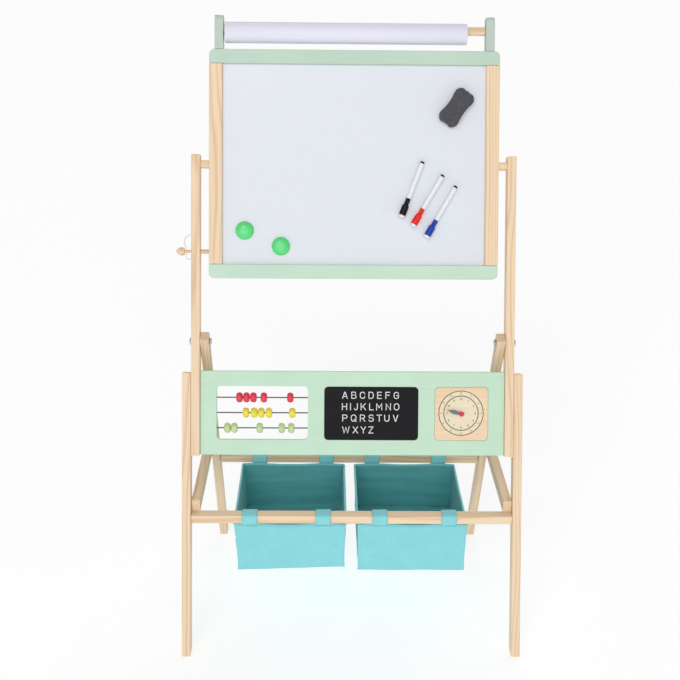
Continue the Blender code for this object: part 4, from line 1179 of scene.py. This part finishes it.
class EASEL_OT_markers(bpy.types.Operator):
    """Three dry-wipe markers and their caps"""

    bl_idname = "easel.markers"
    bl_label = "Markers"

    def execute(self, context):
        barrel = gloss_paint("marker_barrel", colours().white_plastic, 0.25, 0.02)
        plug = gloss_paint("marker_plug", colours().marker_black, 0.35, 0.06, 0.15, 0.0)
        nib = plain_fibre("marker_nib", (0.05, 0.05, 0.05), 2500, 0.0001)
        inks = {
            "black": colours().marker_black,
            "red": colours().marker_red,
            "blue": colours().marker_blue,
        }
        for name, ink in inks.items():
            at, length = self.axis_of(name)
            self.turn_barrel(name, at, length, barrel, plug, nib)
            paint = gloss_paint(f"marker_{name}_cap", ink, 0.32, 0.04, 0.2, 0.05)
            self.turn_cap(name, at, paint, barrel)
        return {"FINISHED"}

    def axis_of(self, name):
        """The marker's own space, at the outer end of its cap, and its length."""
        run = -Vector(JOINTS[f"{name}_cap_pull_off"]["axis"])
        nodes = (f"marker_{name}", f"marker_cap_{name}")
        points = [v.co for node in nodes for v in frame["nodes"][node].data.vertices]
        heights = [point.dot(run) for point in points]
        centre = middle(f"marker_cap_{name}")
        foot = centre + run * (min(heights) - centre.dot(run))
        side = run.cross(OUT).normalized()
        return local_frame(foot, side, run.cross(side), run), max(heights) - min(heights)

    def turn_barrel(self, name, at, length, barrel, plug, nib):
        radius = 0.0038
        mouth = 0.0323
        end = length - 0.003
        profile = [(0, end), *upper_corner(radius, end, 0.0005)]
        groove = radius - 0.00015
        profile += [(radius, end - 0.0042), (groove, end - 0.0044)]
        profile += [(groove, end - 0.0050), (radius, end - 0.0052)]
        profile += [(radius, mouth + 0.0006), (radius - 0.0005, mouth), (0.0026, mouth)]
        profile += [(0.0024, 0.0150), (0.0018, 0.0140), (0, 0.0138)]
        shape = lathe(bmesh.new(), profile, 36)
        body = f"{name}_marker"
        settle(f"marker_{name}_barrel", shape, body, barrel, at, [f"marker_{name}"])
        tail = 0.0032
        profile = [(0, length), *upper_corner(tail, length, 0.0005)]
        profile += [(tail, end - 0.0004), (0, end - 0.0004)]
        shape = lathe(bmesh.new(), profile, 32)
        settle(f"marker_{name}_plug", shape, body, plug, at)
        root, felt = 0.0145, 0.0011
        profile = [(0, root), (felt, root), (felt, 0.0092), (0.0008, 0.0082), (0, 0.0079)]
        shape = lathe(bmesh.new(), profile, 20)
        settle(f"marker_{name}_nib", shape, body, nib, at)

    def turn_cap(self, name, at, paint, white):
        """A stepped cap with fine grip ribs and a white plastic end."""
        wide, neck, bore = 0.0053, 0.0037, 0.0029
        floor, mouth, shoulder, foot = 0.0065, 0.0320, 0.0205, 0.0040
        profile = [(0, floor), (bore, floor), (bore, mouth - 0.0003), (bore + 0.0003, mouth)]
        profile += [(neck - 0.0003, mouth), (neck, mouth - 0.0003), (neck, shoulder + 0.0016)]
        profile += [(neck + 0.0004, shoulder + 0.0008)]
        profile += arc((wide - 0.0007, shoulder - 0.0007), 0.0007, 80, 0, 3)
        profile += [(wide, foot + 0.0003), (wide - 0.0003, foot), (0, foot)]
        shape = lathe(bmesh.new(), profile, 48)
        self.add_ribs(shape, wide, foot, shoulder)
        cap = f"marker_cap_{name}"
        settle(f"{cap}_moulded", shape, f"{name}_cap", paint, at, [cap])
        end = 0.0048
        profile = [(0, foot - 0.0001), (end, foot - 0.0001), *lower_corner(end, 0, 0.0004)]
        shape = lathe(bmesh.new(), [*profile, (0, 0)], 36)
        settle(f"{cap}_end", shape, f"{name}_cap", white, at)

    def add_ribs(self, shape, wide, foot, shoulder):
        ribs = 20
        half_wide = 0.0002
        half_long = (shoulder - foot - 0.0035) / 2
        corners = ((-1, -1), (1, -1), (1, 1), (-1, 1))
        outline = [(x * half_long, y * half_wide) for x, y in corners]
        stand = Matrix.Translation((wide - 0.00005, 0, (foot + shoulder) / 2)) @ ALONG_MINUS_X
        for i in range(ribs):
            turn = Matrix.Rotation(2 * math.pi * i / ribs, 4, "Z")
            slab(shape, outline, 0.0003, 0, at=turn @ stand)


PIN_STEM = 0.0025  # radius of the pin's stem, which the cord goes round
CORD_GAP = 0.0003


class EASEL_OT_lock_pin(bpy.types.Operator):
    """The turned lock pin and the cord that keeps it on the upright"""

    bl_idname = "easel.lock_pin"
    bl_label = "Lock pin and cord"

    def execute(self, context):
        low, high = span("lock_pin")
        centre = (low + high) / 2
        face = span("upright_left")[0].x  # outer face of the left upright
        self.turn_pin(low, high, centre, face)
        self.lay_cord(centre, face)
        return {"FINISHED"}

    def turn_pin(self, low, high, centre, face):
        tip = high.x - face
        knob = face - low.x
        shaft, stem, ball = 0.0034, PIN_STEM, 0.0070
        widest, neck = 0.0155, 0.0112
        pole, ball_steps, fullness = 0.0007, 10, 0.85
        profile = [(0, knob), (pole, knob - 0.0002)]
        for i in range(1, ball_steps):
            share = i / ball_steps
            reach = pole + (ball - pole) * math.sin(share * math.pi / 2) ** fullness
            profile.append((reach, knob + (widest - knob) * share))
        profile += [(ball, widest), (ball * 0.99, widest - 0.0008), (ball * 0.93, widest - 0.0018)]
        profile += [(0.0056, neck + 0.0009), (0.0048, neck), (0.0030, neck), (stem, neck - 0.0005)]
        profile += [(stem, 0.0022), (stem + 0.0004, 0.0010), (shaft, 0.0004)]
        profile += [(shaft, 0.0012 - tip), (shaft - 0.0004, 0.0004 - tip), (shaft - 0.0010, -tip), (0, -tip)]
        at = Matrix.Translation((face, centre.y, centre.z)) @ ALONG_MINUS_X
        shape = lathe(bmesh.new(), profile, sizes().round_steps, at)
        wood = pine("lock_pin_pine", RIGHT, centre, 27, 0.96)
        settle("lock_pin_turned", shape, "pull_pin", wood, stands_for=["lock_pin"])

    def lay_cord(self, centre, face):
        """Out of the upper hole, round the front of the pin's stem and back to the lower hole."""
        radius = 0.0009
        wrap = PIN_STEM + radius + CORD_GAP  # from the stem's middle to the cord's
        in_hole, furthest = -0.0055, 0.0112
        upper_hole, lower_hole = 0.0262, -0.0120  # heights from the pin's middle
        knots = (
            (in_hole, 0.0, upper_hole),
            (0.0010, 0.0, upper_hole),
            (0.0062, -0.0005, 0.0247),
            (0.0108, -0.0012, 0.0192),
            (furthest, -0.0020, 0.0122),
            (0.0090, -0.0028, 0.0062),
            (0.0078, -wrap * 0.80, 0.0026),
            (0.0076, -wrap, -0.0002),
            (0.0078, -wrap * 0.78, -0.0030),
            (0.0088, -0.0022, -0.0070),
            (0.0078, -0.0010, -0.0108),
            (0.0042, 0.0, -0.0123),
            (0.0010, 0.0, lower_hole),
            (in_hole, 0.0, lower_hole),
        )
        space = local_frame(Vector((face, centre.y, centre.z)), Vector((-1, 0, 0)))
        path = [space @ point for point in catmull(knots, 170)]
        shape = bmesh.new()
        self.twist_tube(shape, path, radius)
        cotton = plain_fibre("cord_cotton", colours().cord, 2600, 0.0002, 0.9, 0.2, 0.06)
        stands_for = ["pin_cord"]
        made = settle("pin_cord_twisted", shape, None, cotton, LEVEL, stands_for, 80)
        length = sum((b - a).length for a, b in zip(path, path[1:]))
        start = tuple(space @ Vector((in_hole, 0.0, 0.0)))
        end = tuple(space @ Vector((furthest, 0.0, 0.0)))
        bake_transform(made)

    def twist_tube(self, shape, path, radius):
        """Three strands laid together, as one twisted skin."""
        sides = 18
        strands = 3
        turns_per_metre = 260
        normal = Vector((0, 0, 1)).cross(path[1] - path[0]).normalized()
        run = 0.0
        rings = []
        for i, point in enumerate(path):
            ahead = path[min(i + 1, len(path) - 1)] - path[max(i - 1, 0)]
            ahead.normalize()
            normal = (normal - ahead * normal.dot(ahead)).normalized()
            other = ahead.cross(normal)
            run += (point - path[i - 1]).length if i else 0.0
            ring = []
            for k in range(sides):
                turn = 2 * math.pi * k / sides
                lay = math.cos(strands * turn + 2 * math.pi * turns_per_metre * run)
                reach = radius * (0.92 + 0.08 * lay)
                outward = normal * math.cos(turn) + other * math.sin(turn)
                ring.append(shape.verts.new(point + outward * reach))
            rings.append(ring)
        skin(shape, rings, capped=True)


def thread_vertex(shape, layer, place, along, across):
    """A vertex of cloth, with the coordinates that its weave is drawn from."""
    vertex = shape.verts.new(place)
    vertex[layer] = (along, across, 0)
    return vertex


def new_cloth():
    """A new bmesh and its layer of thread coordinates."""
    shape = bmesh.new()
    return shape, shape.verts.layers.float_vector.new("thread")


FRONT_STRAP_SHARE = 0.94  # of the rear straps' width
BOX_MARGIN = 0.0022  # from a strap's edge to its box of stitches
BOX_TALL = 0.0085
BOX_THREAD = 0.0007


class EASEL_OT_bins(bpy.types.Operator):
    """Two cloth bins: sewn walls and bottom, a turned hem, strap loops and their stitching"""

    bl_idname = "easel.bins"
    bl_label = "Cloth bins"

    def execute(self, context):
        cloth = woven_cloth("bin_cloth", colours().cloth)
        # A darker copy of the cloth for the walls' inner side, as painted shade.
        self.lining = woven_cloth("bin_cloth_inner_side_painted_shade", colours().cloth_inside)
        thread = plain_fibre("bin_thread", colours().thread, 3000, 0.0001)
        for seed, (side, sign) in enumerate(SIDES):
            walls = BinShape(side, sign, seed)
            self.sew_walls(walls, cloth)
            self.sew_hem(walls, cloth)
            self.sew_straps(walls, cloth)
            self.sew_stitches(walls, thread)
        return {"FINISHED"}

    def sew_walls(self, walls, cloth):
        shape, thread = new_cloth()
        count = len(walls.loop)
        rows = []
        for depth in walls.depths:
            down = depth * walls.tall
            places = [walls.point(k, depth) for k in range(count)]
            rows.append(
                [thread_vertex(shape, thread, place, walls.runs[k], down) for k, place in enumerate(places)]
            )
        for share in walls.bottom_shares:
            places = [walls.bottom_point(k, share) for k in range(count)]
            rows.append([thread_vertex(shape, thread, place, place.x, place.y) for place in places])
        lowest = walls.bottom_point(0, 0.0)
        centre = thread_vertex(shape, thread, lowest, lowest.x, lowest.y)
        skin(shape, rows)
        for k in range(count):
            shape.faces.new((rows[-1][k], rows[-1][(k + 1) % count], centre))
        node = f"fabric_bin_{walls.side}"
        made = settle(f"{node}_sewn", shape, "frame", cloth, stands_for=[node], sharp=70)
        # The walls' inner side gets the darker copy of the cloth: painted shade inside the bin.
        made.data.materials.append(self.lining)
        self.thicken(made, -1).material_offset = 1

    def thicken(self, made, offset):
        solid = made.modifiers.new("cloth_thickness", "SOLIDIFY")
        solid.thickness = sizes().cloth_thick
        solid.offset = offset
        solid.use_even_offset = True
        return solid

    def sew_hem(self, walls, cloth):
        """A turned band over the rim, a little proud of the cloth on both sides."""
        shape, thread = new_cloth()
        thick, deep = sizes().cloth_thick, sizes().hem
        rings = []
        for k, normal in enumerate(walls.normals):
            out = 0.00025 + 0.0005 * (1 - abs(normal.y))
            section = [(out * 0.4, deep), (out, deep - 0.0006), (out, 0.0010), (out * 0.3, -0.0002)]
            section += [(-thick / 2, -0.0007), (-thick - out * 0.3, -0.0002), (-thick - out, 0.0010)]
            section += [(-thick - out, deep - 0.0006), (-thick - out * 0.4, deep)]
            section += [(-thick / 2, deep - 0.0003)]
            ring = []
            for stand, down in section:
                place = walls.point(k, down / walls.tall) + normal * stand
                ring.append(thread_vertex(shape, thread, place, walls.runs[k], down))
            rings.append(ring)
        skin(shape, rings + rings[:1])
        name = f"fabric_bin_{walls.side}_hem"
        settle(name, shape, "frame", cloth, sharp=60)

    def sew_straps(self, walls, cloth):
        for at_rear in (False, True):
            for place, x in walls.straps(at_rear):
                route = walls.strap_route(at_rear)
                self.sew_strap(walls, f"{'rear' if at_rear else 'front'}_{place}", x, route, cloth)

    def sew_strap(self, walls, label, x, route, cloth):
        """One band of cloth round the rail, its edges very slightly curled."""
        size = sizes()
        shape, thread = new_cloth()
        columns = 8
        rows = []
        run = 0.0
        wide = size.strap_width * (1.0 if label.startswith("rear") else FRONT_STRAP_SHARE)
        for i, point in enumerate(route):
            ahead = (route[min(i + 1, len(route) - 1)] - route[max(i - 1, 0)]).normalized()
            outward = Vector((0, -ahead.z, ahead.y))
            run += (point - route[i - 1]).length if i else 0.0
            row = []
            for c in range(columns + 1):
                share = c / columns * 2 - 1
                waver = 0.0005 * noise.noise(Vector((x * 90 + share, run * 55, walls.seed)))
                curl = 0.00035 * share**4
                place = point + outward * (waver + curl)
                edge = wide / 2 * share
                row.append(thread_vertex(shape, thread, (x + edge, place.y, place.z), edge, run))
            rows.append(row)
        skin(shape, rows, ringed=False)
        name = f"fabric_bin_{walls.side}_strap_{label}"
        made = settle(name, shape, "frame", cloth, sharp=70)
        self.thicken(made, 0)

    def sew_stitches(self, walls, thread):
        """A row round the hem, and a box of stitches at the foot of each strap."""
        size = sizes()
        shape = bmesh.new()
        above_edge, proud = 0.0012, 0.0008  # of the hem's row of stitches
        down = (size.hem - above_edge) / walls.tall
        for k in range(len(walls.loop)):
            j = (k + 1) % len(walls.loop)
            lift = walls.normals[k]
            a = walls.point(k, down) + lift * proud
            b = walls.point(j, down) + walls.normals[j] * proud
            if (b - a).length > size.stitch * 0.8:
                stitches(shape, [a, b], lift)
        half = size.strap_width / 2 - BOX_MARGIN
        for _, x in walls.straps():
            front = Vector((x, walls.front - 0.0004, walls.rim - 0.0026))
            stitches(shape, [front - RIGHT * half, front + RIGHT * half], Vector((0, -1, 0)), BOX_THREAD)
        for at_rear in (False, True):
            for _, x in walls.straps(at_rear):
                foot = walls.strap_route(at_rear)[-1]
                low = Vector((x, foot.y + size.cloth_thick / 2 + 0.0001, foot.z + 0.0020))
                high = low + Vector((0, 0, BOX_TALL))
                box = [low - RIGHT * half, low + RIGHT * half, high + RIGHT * half, high - RIGHT * half]
                stitches(shape, [*box, box[0]], Vector((0, 1, 0)), BOX_THREAD)
        name = f"fabric_bin_{walls.side}_stitches"
        settle(name, shape, "frame", thread)


# Middles of a bin's straps on the front rail and on the rear rail; hand-sewn straps are not quite even
STRAP_PLACES = {
    ("left", False): (-0.1640, -0.0460),
    ("left", True): (-0.1592, -0.0414),
    ("right", False): (0.1565, 0.0450),
    ("right", True): (0.1580, 0.0404),
}


RIM_BELOW_RAIL = 0.0018
FRONT_IN_FROM_RAIL = 0.0012
REAR_IN_FROM_RAIL = 0.0022
FLOOR_CLEAR = 0.0005  # above the bottom of the CAD bin
WALL_ROWS = 22
LONGEST_SPAN = 0.0046  # between two points of the rim
SEAM_SPREAD = 0.16


class BinShape:
    """The outline of one cloth bin, worked out from its CAD solid."""

    def __init__(self, side, sign, seed):
        size = sizes()
        self.side = side
        self.sign = sign
        self.seed = seed * 5.3
        self.low, self.high = span(f"fabric_bin_{side}")
        self.front_rail = span("front_rail")
        self.rear_rail = span("rear_rail")
        self.rim = self.front_rail[0].z - RIM_BELOW_RAIL
        self.tall = self.rim - self.low.z - FLOOR_CLEAR
        self.front = self.front_rail[0].y + FRONT_IN_FROM_RAIL
        self.rear = self.rear_rail[0].y + REAR_IN_FROM_RAIL
        self.corner = size.bin_corner
        self.half_x = (self.high.x - self.low.x) / 2
        self.half_y = (self.rear - self.front) / 2
        self.rise = size.bin_lift if sign < 0 else 0.0
        self.loop, self.normals, self.runs = self.outline()
        self.depths = [i / WALL_ROWS for i in range(WALL_ROWS)]
        self.bottom_shares = [1.0, 0.985, 0.95, 0.88, 0.78, 0.66, 0.53, 0.40, 0.27, 0.13]

    def outline(self):
        """Points round the rim with a seam at each corner, their outward directions and running lengths."""
        centre = ((self.low.x + self.high.x) / 2, (self.front + self.rear) / 2)
        wide = self.high.x - self.low.x
        deep = self.rear - self.front
        corners = rounded_outline(wide, deep, self.corner, 8)
        dense = []
        for i, point in enumerate(corners):
            after = corners[(i + 1) % len(corners)]
            gap = math.dist(point, after)
            pieces = max(1, round(gap / LONGEST_SPAN))
            for k in range(pieces):
                share = k / pieces
                x = point[0] + (after[0] - point[0]) * share
                y = point[1] + (after[1] - point[1]) * share
                if not dense or math.dist(dense[-1], (x, y)) > 1e-5:
                    dense.append((x, y))
        normals = []
        runs = [0.0]
        for i, point in enumerate(dense):
            before = Vector(dense[i - 1])
            after = Vector(dense[(i + 1) % len(dense)])
            along = (after - before).normalized()
            normals.append(Vector((along.y, -along.x, 0)))
            runs.append(runs[-1] + math.dist(point, dense[(i + 1) % len(dense)]))
        loop = [Vector((x + centre[0], y + centre[1], 0)) for x, y in dense]
        self.centre = Vector((centre[0], centre[1], 0))
        return loop, normals, runs

    def seam(self, k):
        """1 at the middle of an upright corner and 0 away from it."""
        normal = self.normals[k]
        return math.exp(-((abs(normal.x) - abs(normal.y)) / SEAM_SPREAD) ** 2)

    def slack(self, x, is_end):
        """How far the rim dips between and beyond the straps, from 0 to 1."""
        if is_end:
            return 0.0
        held, fade = 0.012, 0.030  # the cloth that a strap holds up, and where the dip is full
        near = min(abs(x - at) for _, at in self.straps())
        return min(1.0, max(0.0, near - held) / fade)

    def straps(self, at_rear=False):
        """Each strap's name and middle, outer one first."""
        return zip(("outer", "inner"), STRAP_PLACES[self.side, at_rear])

    def point(self, k, depth):
        """A point of the wall; depth is 0 at the rim and 1 at the bottom edge."""
        size = sizes()
        base = self.loop[k]
        normal = self.normals[k]
        away_from_seam = 1 - self.seam(k)
        facing = abs(normal.y)
        rim_dip, end_dip, swell_out = 0.0016, 0.0035, 0.0022
        dip = rim_dip * self.slack(base.x, facing < 0.5) * (1 - depth) ** 2
        bulge = math.sin(math.pi * self.share_of_side(base))
        side_dip = end_dip * (1 - facing) * bulge * (1 - depth) ** 1.5
        rise = self.rise * depth * (base.x - self.centre.x + self.half_x) / (2 * self.half_x)
        z = self.rim - depth * self.tall - dip - side_dip + rise
        taper = size.bin_taper * depth * (1 - facing) + 0.0012 * depth * facing
        swell = swell_out * math.sin(math.pi * depth) * bulge
        folds = noise.noise(Vector((self.runs[k] * 21, depth * 1.7, self.seed)))
        fine = noise.noise(Vector((self.runs[k] * 75, depth * 5.0, self.seed + 9)))
        sag = noise.noise(Vector((self.runs[k] * 7, depth * 8.0, self.seed + 17)))
        drape = (0.0011 * folds + 0.0004 * fine) * (0.25 + depth) * away_from_seam
        drape += 0.0016 * sag * math.sin(math.pi * depth) * away_from_seam
        ridge = (0.0007 + 0.0016 * depth**8) * self.seam(k)
        push = swell * 0.55 + drape + ridge - taper - 0.0014 * facing * 0.5
        outer_left = self.sign < 0 and normal.x < -0.5
        flare = size.bin_flare * (1 - depth) ** 1.5 * -normal.x if outer_left else 0.0
        return Vector((base.x - flare, base.y, z)) + normal * push

    def share_of_side(self, base):
        """0 at one corner and 1 at the next, along the side that the point is on."""
        rel = base - self.centre
        if abs(rel.x) / self.half_x > abs(rel.y) / self.half_y:
            return (rel.y / self.half_y + 1) / 2
        return (rel.x / self.half_x + 1) / 2

    def bottom_point(self, k, share):
        """A point of the bottom; share is 1 at its edge and 0 at its middle."""
        edge = self.point(k, 1.0)
        centre = Vector((self.centre.x, self.centre.y, edge.z))
        place = centre + (edge - centre) * share
        rel = place - self.centre
        bowl = max(0.0, 1 - (rel.x / self.half_x) ** 2) * max(0.0, 1 - (rel.y / self.half_y) ** 2)
        crease = noise.noise(Vector((place.x * 24, place.y * 18, self.seed + 4)))
        level = self.rim - self.tall
        z = level - sizes().bin_sag * bowl + 0.0008 * crease * bowl
        blend = min(1.0, (1 - share) * 12)
        place.z = edge.z * (1 - blend) + z * blend
        return place

    def strap_route(self, at_rear):
        """The strap's middle line in Y and Z. Its front end is one with the wall; its back end is sewn on."""
        low, high = self.rear_rail if at_rear else self.front_rail
        wall = self.rear if at_rear else self.front
        thick = sizes().cloth_thick
        gap = thick / 2 + 0.0004
        middle_of_wall = wall - thick / 2 if at_rear else wall + thick / 2
        behind = wall + 0.0012 if at_rear else wall + thick + 0.0012
        foot = self.rim - 0.0130
        steps = (
            (middle_of_wall, self.rim - 0.0035),
            (middle_of_wall - 0.0002, self.rim),
            (low.y - gap, low.z + 0.0022),
            (low.y - gap - 0.0002, low.z + 0.0080),
            (low.y - gap, high.z - 0.0010),
            (low.y + 0.0010, high.z + gap),
            ((low.y + high.y) / 2, high.z + gap + 0.0002),
            (high.y - 0.0010, high.z + gap),
            (high.y + gap, high.z - 0.0010),
            (high.y + gap, low.z + 0.0012),
            (high.y - 0.0020, low.z - gap),
            (behind + 0.0045, low.z - gap - 0.0004),
            (behind + 0.0006, self.rim - 0.0020),
            (behind, self.rim - 0.0060),
            (behind, foot),
        )
        return catmull([(0, y, z) for y, z in steps], 96)


PANEL_SCREW_LIFT = 0.045  # of the panel's two screws, from its middle


class EASEL_OT_fasteners(bpy.types.Operator):
    """Leg bolts with their nuts, and the countersunk screws of the other joints"""

    bl_idname = "easel.fasteners"
    bl_label = "Bolts and screws"

    def execute(self, context):
        steel = metal("zinc_plate", colours().steel)
        for side, sign in SIDES:
            self.turn_bolt(side, sign, steel)
            self.set_screws(side, sign, steel)
        return {"FINISHED"}

    def turn_bolt(self, side, sign, steel):
        node = f"leg_hinge_bolt_{side}"
        low, high = span(node)
        centre = (low + high) / 2
        outer = high.x if sign > 0 else -low.x
        inner = low.x if sign > 0 else -high.x
        head, shank, crown = 0.0065, 0.003, 0.0035
        shape = bmesh.new()
        profile = [(0.0018, outer - 0.0014), (0.0021, outer - 0.0003), (0.0026, outer - 0.00012)]
        for i in range(1, 9):
            turn = math.radians(22 + i * 68 / 8)
            height = outer - crown * (1 - math.cos(turn))
            profile.append((head * math.sin(turn), height))
        profile += [(head, outer - crown), (shank, outer - crown)]
        profile += [(shank, inner + 0.0006), (shank - 0.0005, inner), (0, inner)]
        at = Matrix.Translation((0, centre.y, centre.z)) @ OUTWARDS[sign]
        lathe(shape, [(0, outer - 0.0014), *profile], 36, at)
        across = 0.0055
        turns = [math.radians(60 * i) for i in range(6)]
        hexagon = [(across * math.cos(turn), across * math.sin(turn)) for turn in turns]
        nut = at @ Matrix.Translation((0, 0, inner + 0.0019))
        slab(shape, hexagon, 0.0030, 0.0003, 2, nut)
        settle(f"{node}_fitted", shape, "frame", steel, stands_for=[node])

    def set_screws(self, side, sign, steel):
        """Screws in the outer faces of the leg and the upright, each with a round recess."""
        leg = span(f"front_leg_{side}")
        upright = span(f"upright_{side}")
        leg_face = leg[1].x if sign > 0 else leg[0].x
        upright_face = upright[1].x if sign > 0 else upright[0].x
        rail = middle("front_rail")
        panel = CLOCK.translation
        shape = bmesh.new()
        places = [Vector((leg_face, rail.y, rail.z))]
        for lift in (-PANEL_SCREW_LIFT, PANEL_SCREW_LIFT):
            place = panel + UP * lift - OUT * 0.006
            places.append(Vector((leg_face, place.y, place.z)))
        for place in places:
            self.add_screw(shape, place, sign)
        beside_leg = panel + UP * 0.088 - OUT * 0.011
        self.add_screw(shape, Vector((upright_face, beside_leg.y, beside_leg.z)), sign)
        settle(f"side_screws_{side}", shape, "frame", steel)

    def add_screw(self, shape, place, sign):
        radius = sizes().screw_head
        at = Matrix.Translation(place) @ OUTWARDS[sign]
        profile = [(0, -0.0007), (0.0011, -0.0007), (0.0013, 0.00025), (radius * 0.9, 0.0002)]
        profile += [(radius, 0.00005), (radius, -0.0012), (0, -0.0012)]
        lathe(shape, profile, 28, at)


class EASEL_OT_studio(bpy.types.Operator):
    """The pale floor, the soft lights and the camera"""

    bl_idname = "easel.studio"
    bl_label = "Studio"

    def execute(self, context):
        studio = context.scene.easel_studio
        self.lay_floor(studio)
        broad = {"angle": math.radians(50)}
        self.hang("front_light", "SUN", (-0.35, -2.9, 1.6), studio.key_power, broad)
        self.hang("back_light", "SUN", (0.9, 2.4, 2.3), studio.back_power, broad)
        square = {"shape": "SQUARE", "size": 0.5}
        self.hang("top_light", "AREA", (-0.6, -1.6, 2.4), studio.top_power, square)
        world = bpy.data.worlds.new("studio_air")
        world.use_nodes = True
        world.node_tree.nodes["Background"].inputs["Color"].default_value = (1, 1, 1, 1)
        world.node_tree.nodes["Background"].inputs["Strength"].default_value = studio.ambient
        context.scene.world = world
        context.scene.view_settings.view_transform = "Standard"
        self.stand_camera(context, studio)
        return {"FINISHED"}

    def lay_floor(self, studio):
        shape = bmesh.new()
        bmesh.ops.create_grid(shape, x_segments=2, y_segments=2, size=30)
        mesh = bpy.data.meshes.new("studio_floor")
        shape.to_mesh(mesh)
        shape.free()
        paint = Finish("floor_paint")
        soft = paint.noise(paint.place, 3, 2)
        paint.done(
            Base_Color=paint.mix(soft, colours().floor, shade(colours().floor, 0.985)),
            Roughness=0.75 + soft * 0.1,
            Specular_IOR_Level=0.0,
            Emission_Color=(1.0, 1.0, 1.0, 1.0),
            Emission_Strength=studio.floor_glow,
        )
        mesh.materials.append(paint.material)
        floor = bpy.data.objects.new("studio_floor", mesh)
        floor.location.z = -0.0004
        bpy.context.scene.collection.objects.link(floor)

    def hang(self, name, kind, place, strength, settings):
        """A light aimed at the middle of the easel."""
        light = bpy.data.lights.new(name, kind)
        light.energy = strength
        for key, value in settings.items():
            setattr(light, key, value)
        made = bpy.data.objects.new(name, light)
        bpy.context.scene.collection.objects.link(made)
        made.location = place
        made.rotation_euler = (MIDDLE - Vector(place)).to_track_quat("-Z", "Y").to_euler()

    def stand_camera(self, context, studio):
        lens = bpy.data.cameras.new("camera")
        lens.lens = studio.lens
        lens.sensor_width = 36.0
        camera = bpy.data.objects.new("camera", lens)
        context.scene.collection.objects.link(camera)
        pitch, yaw, roll = studio.pitch, studio.yaw, studio.roll
        level = math.cos(pitch)
        ahead = Vector((math.sin(yaw) * level, math.cos(yaw) * level, -math.sin(pitch)))
        right = Vector((math.cos(yaw), -math.sin(yaw), 0))
        above = right.cross(ahead)
        tilted_right = right * math.cos(roll) + above * math.sin(roll)
        tilted_up = above * math.cos(roll) - right * math.sin(roll)
        camera.matrix_world = local_frame(Vector(studio.camera_at), tilted_right, tilted_up, -ahead)
        context.scene.camera = camera


STEPS = (
    EASEL_OT_timber,
    EASEL_OT_painted,
    EASEL_OT_board_sheet,
    EASEL_OT_dowels,
    EASEL_OT_paper_roll,
    EASEL_OT_beads,
    EASEL_OT_letter_board,
    EASEL_OT_clock,
    EASEL_OT_magnets,
    EASEL_OT_eraser,
    EASEL_OT_markers,
    EASEL_OT_lock_pin,
    EASEL_OT_bins,
    EASEL_OT_fasteners,
    EASEL_OT_studio,
)


class EASEL_PT_panel(bpy.types.Panel):
    """Lists the easel's steps in the 3D view's sidebar"""

    bl_idname = "EASEL_PT_panel"
    bl_label = "Kids easel"
    bl_space_type = "VIEW_3D"
    bl_region_type = "UI"
    bl_category = "Easel"

    def draw(self, context):
        for step in STEPS:
            self.layout.operator(step.bl_idname)


GROUPS = (EaselColours, EaselSizes, EaselStudio)


def register():
    for group in GROUPS + STEPS + (EASEL_PT_panel,):
        bpy.utils.register_class(group)
    bpy.types.Scene.easel_colours = PointerProperty(type=EaselColours)
    bpy.types.Scene.easel_sizes = PointerProperty(type=EaselSizes)
    bpy.types.Scene.easel_studio = PointerProperty(type=EaselStudio)


def unregister():
    del bpy.types.Scene.easel_studio
    del bpy.types.Scene.easel_sizes
    del bpy.types.Scene.easel_colours
    for group in reversed(GROUPS + STEPS + (EASEL_PT_panel,)):
        bpy.utils.unregister_class(group)


def main():
    register()
    for step in STEPS:
        family, name = step.bl_idname.split(".")
        getattr(getattr(bpy.ops, family), name)()
    bpy.context.view_layer.update()


if __name__ == "__main__":
    main()
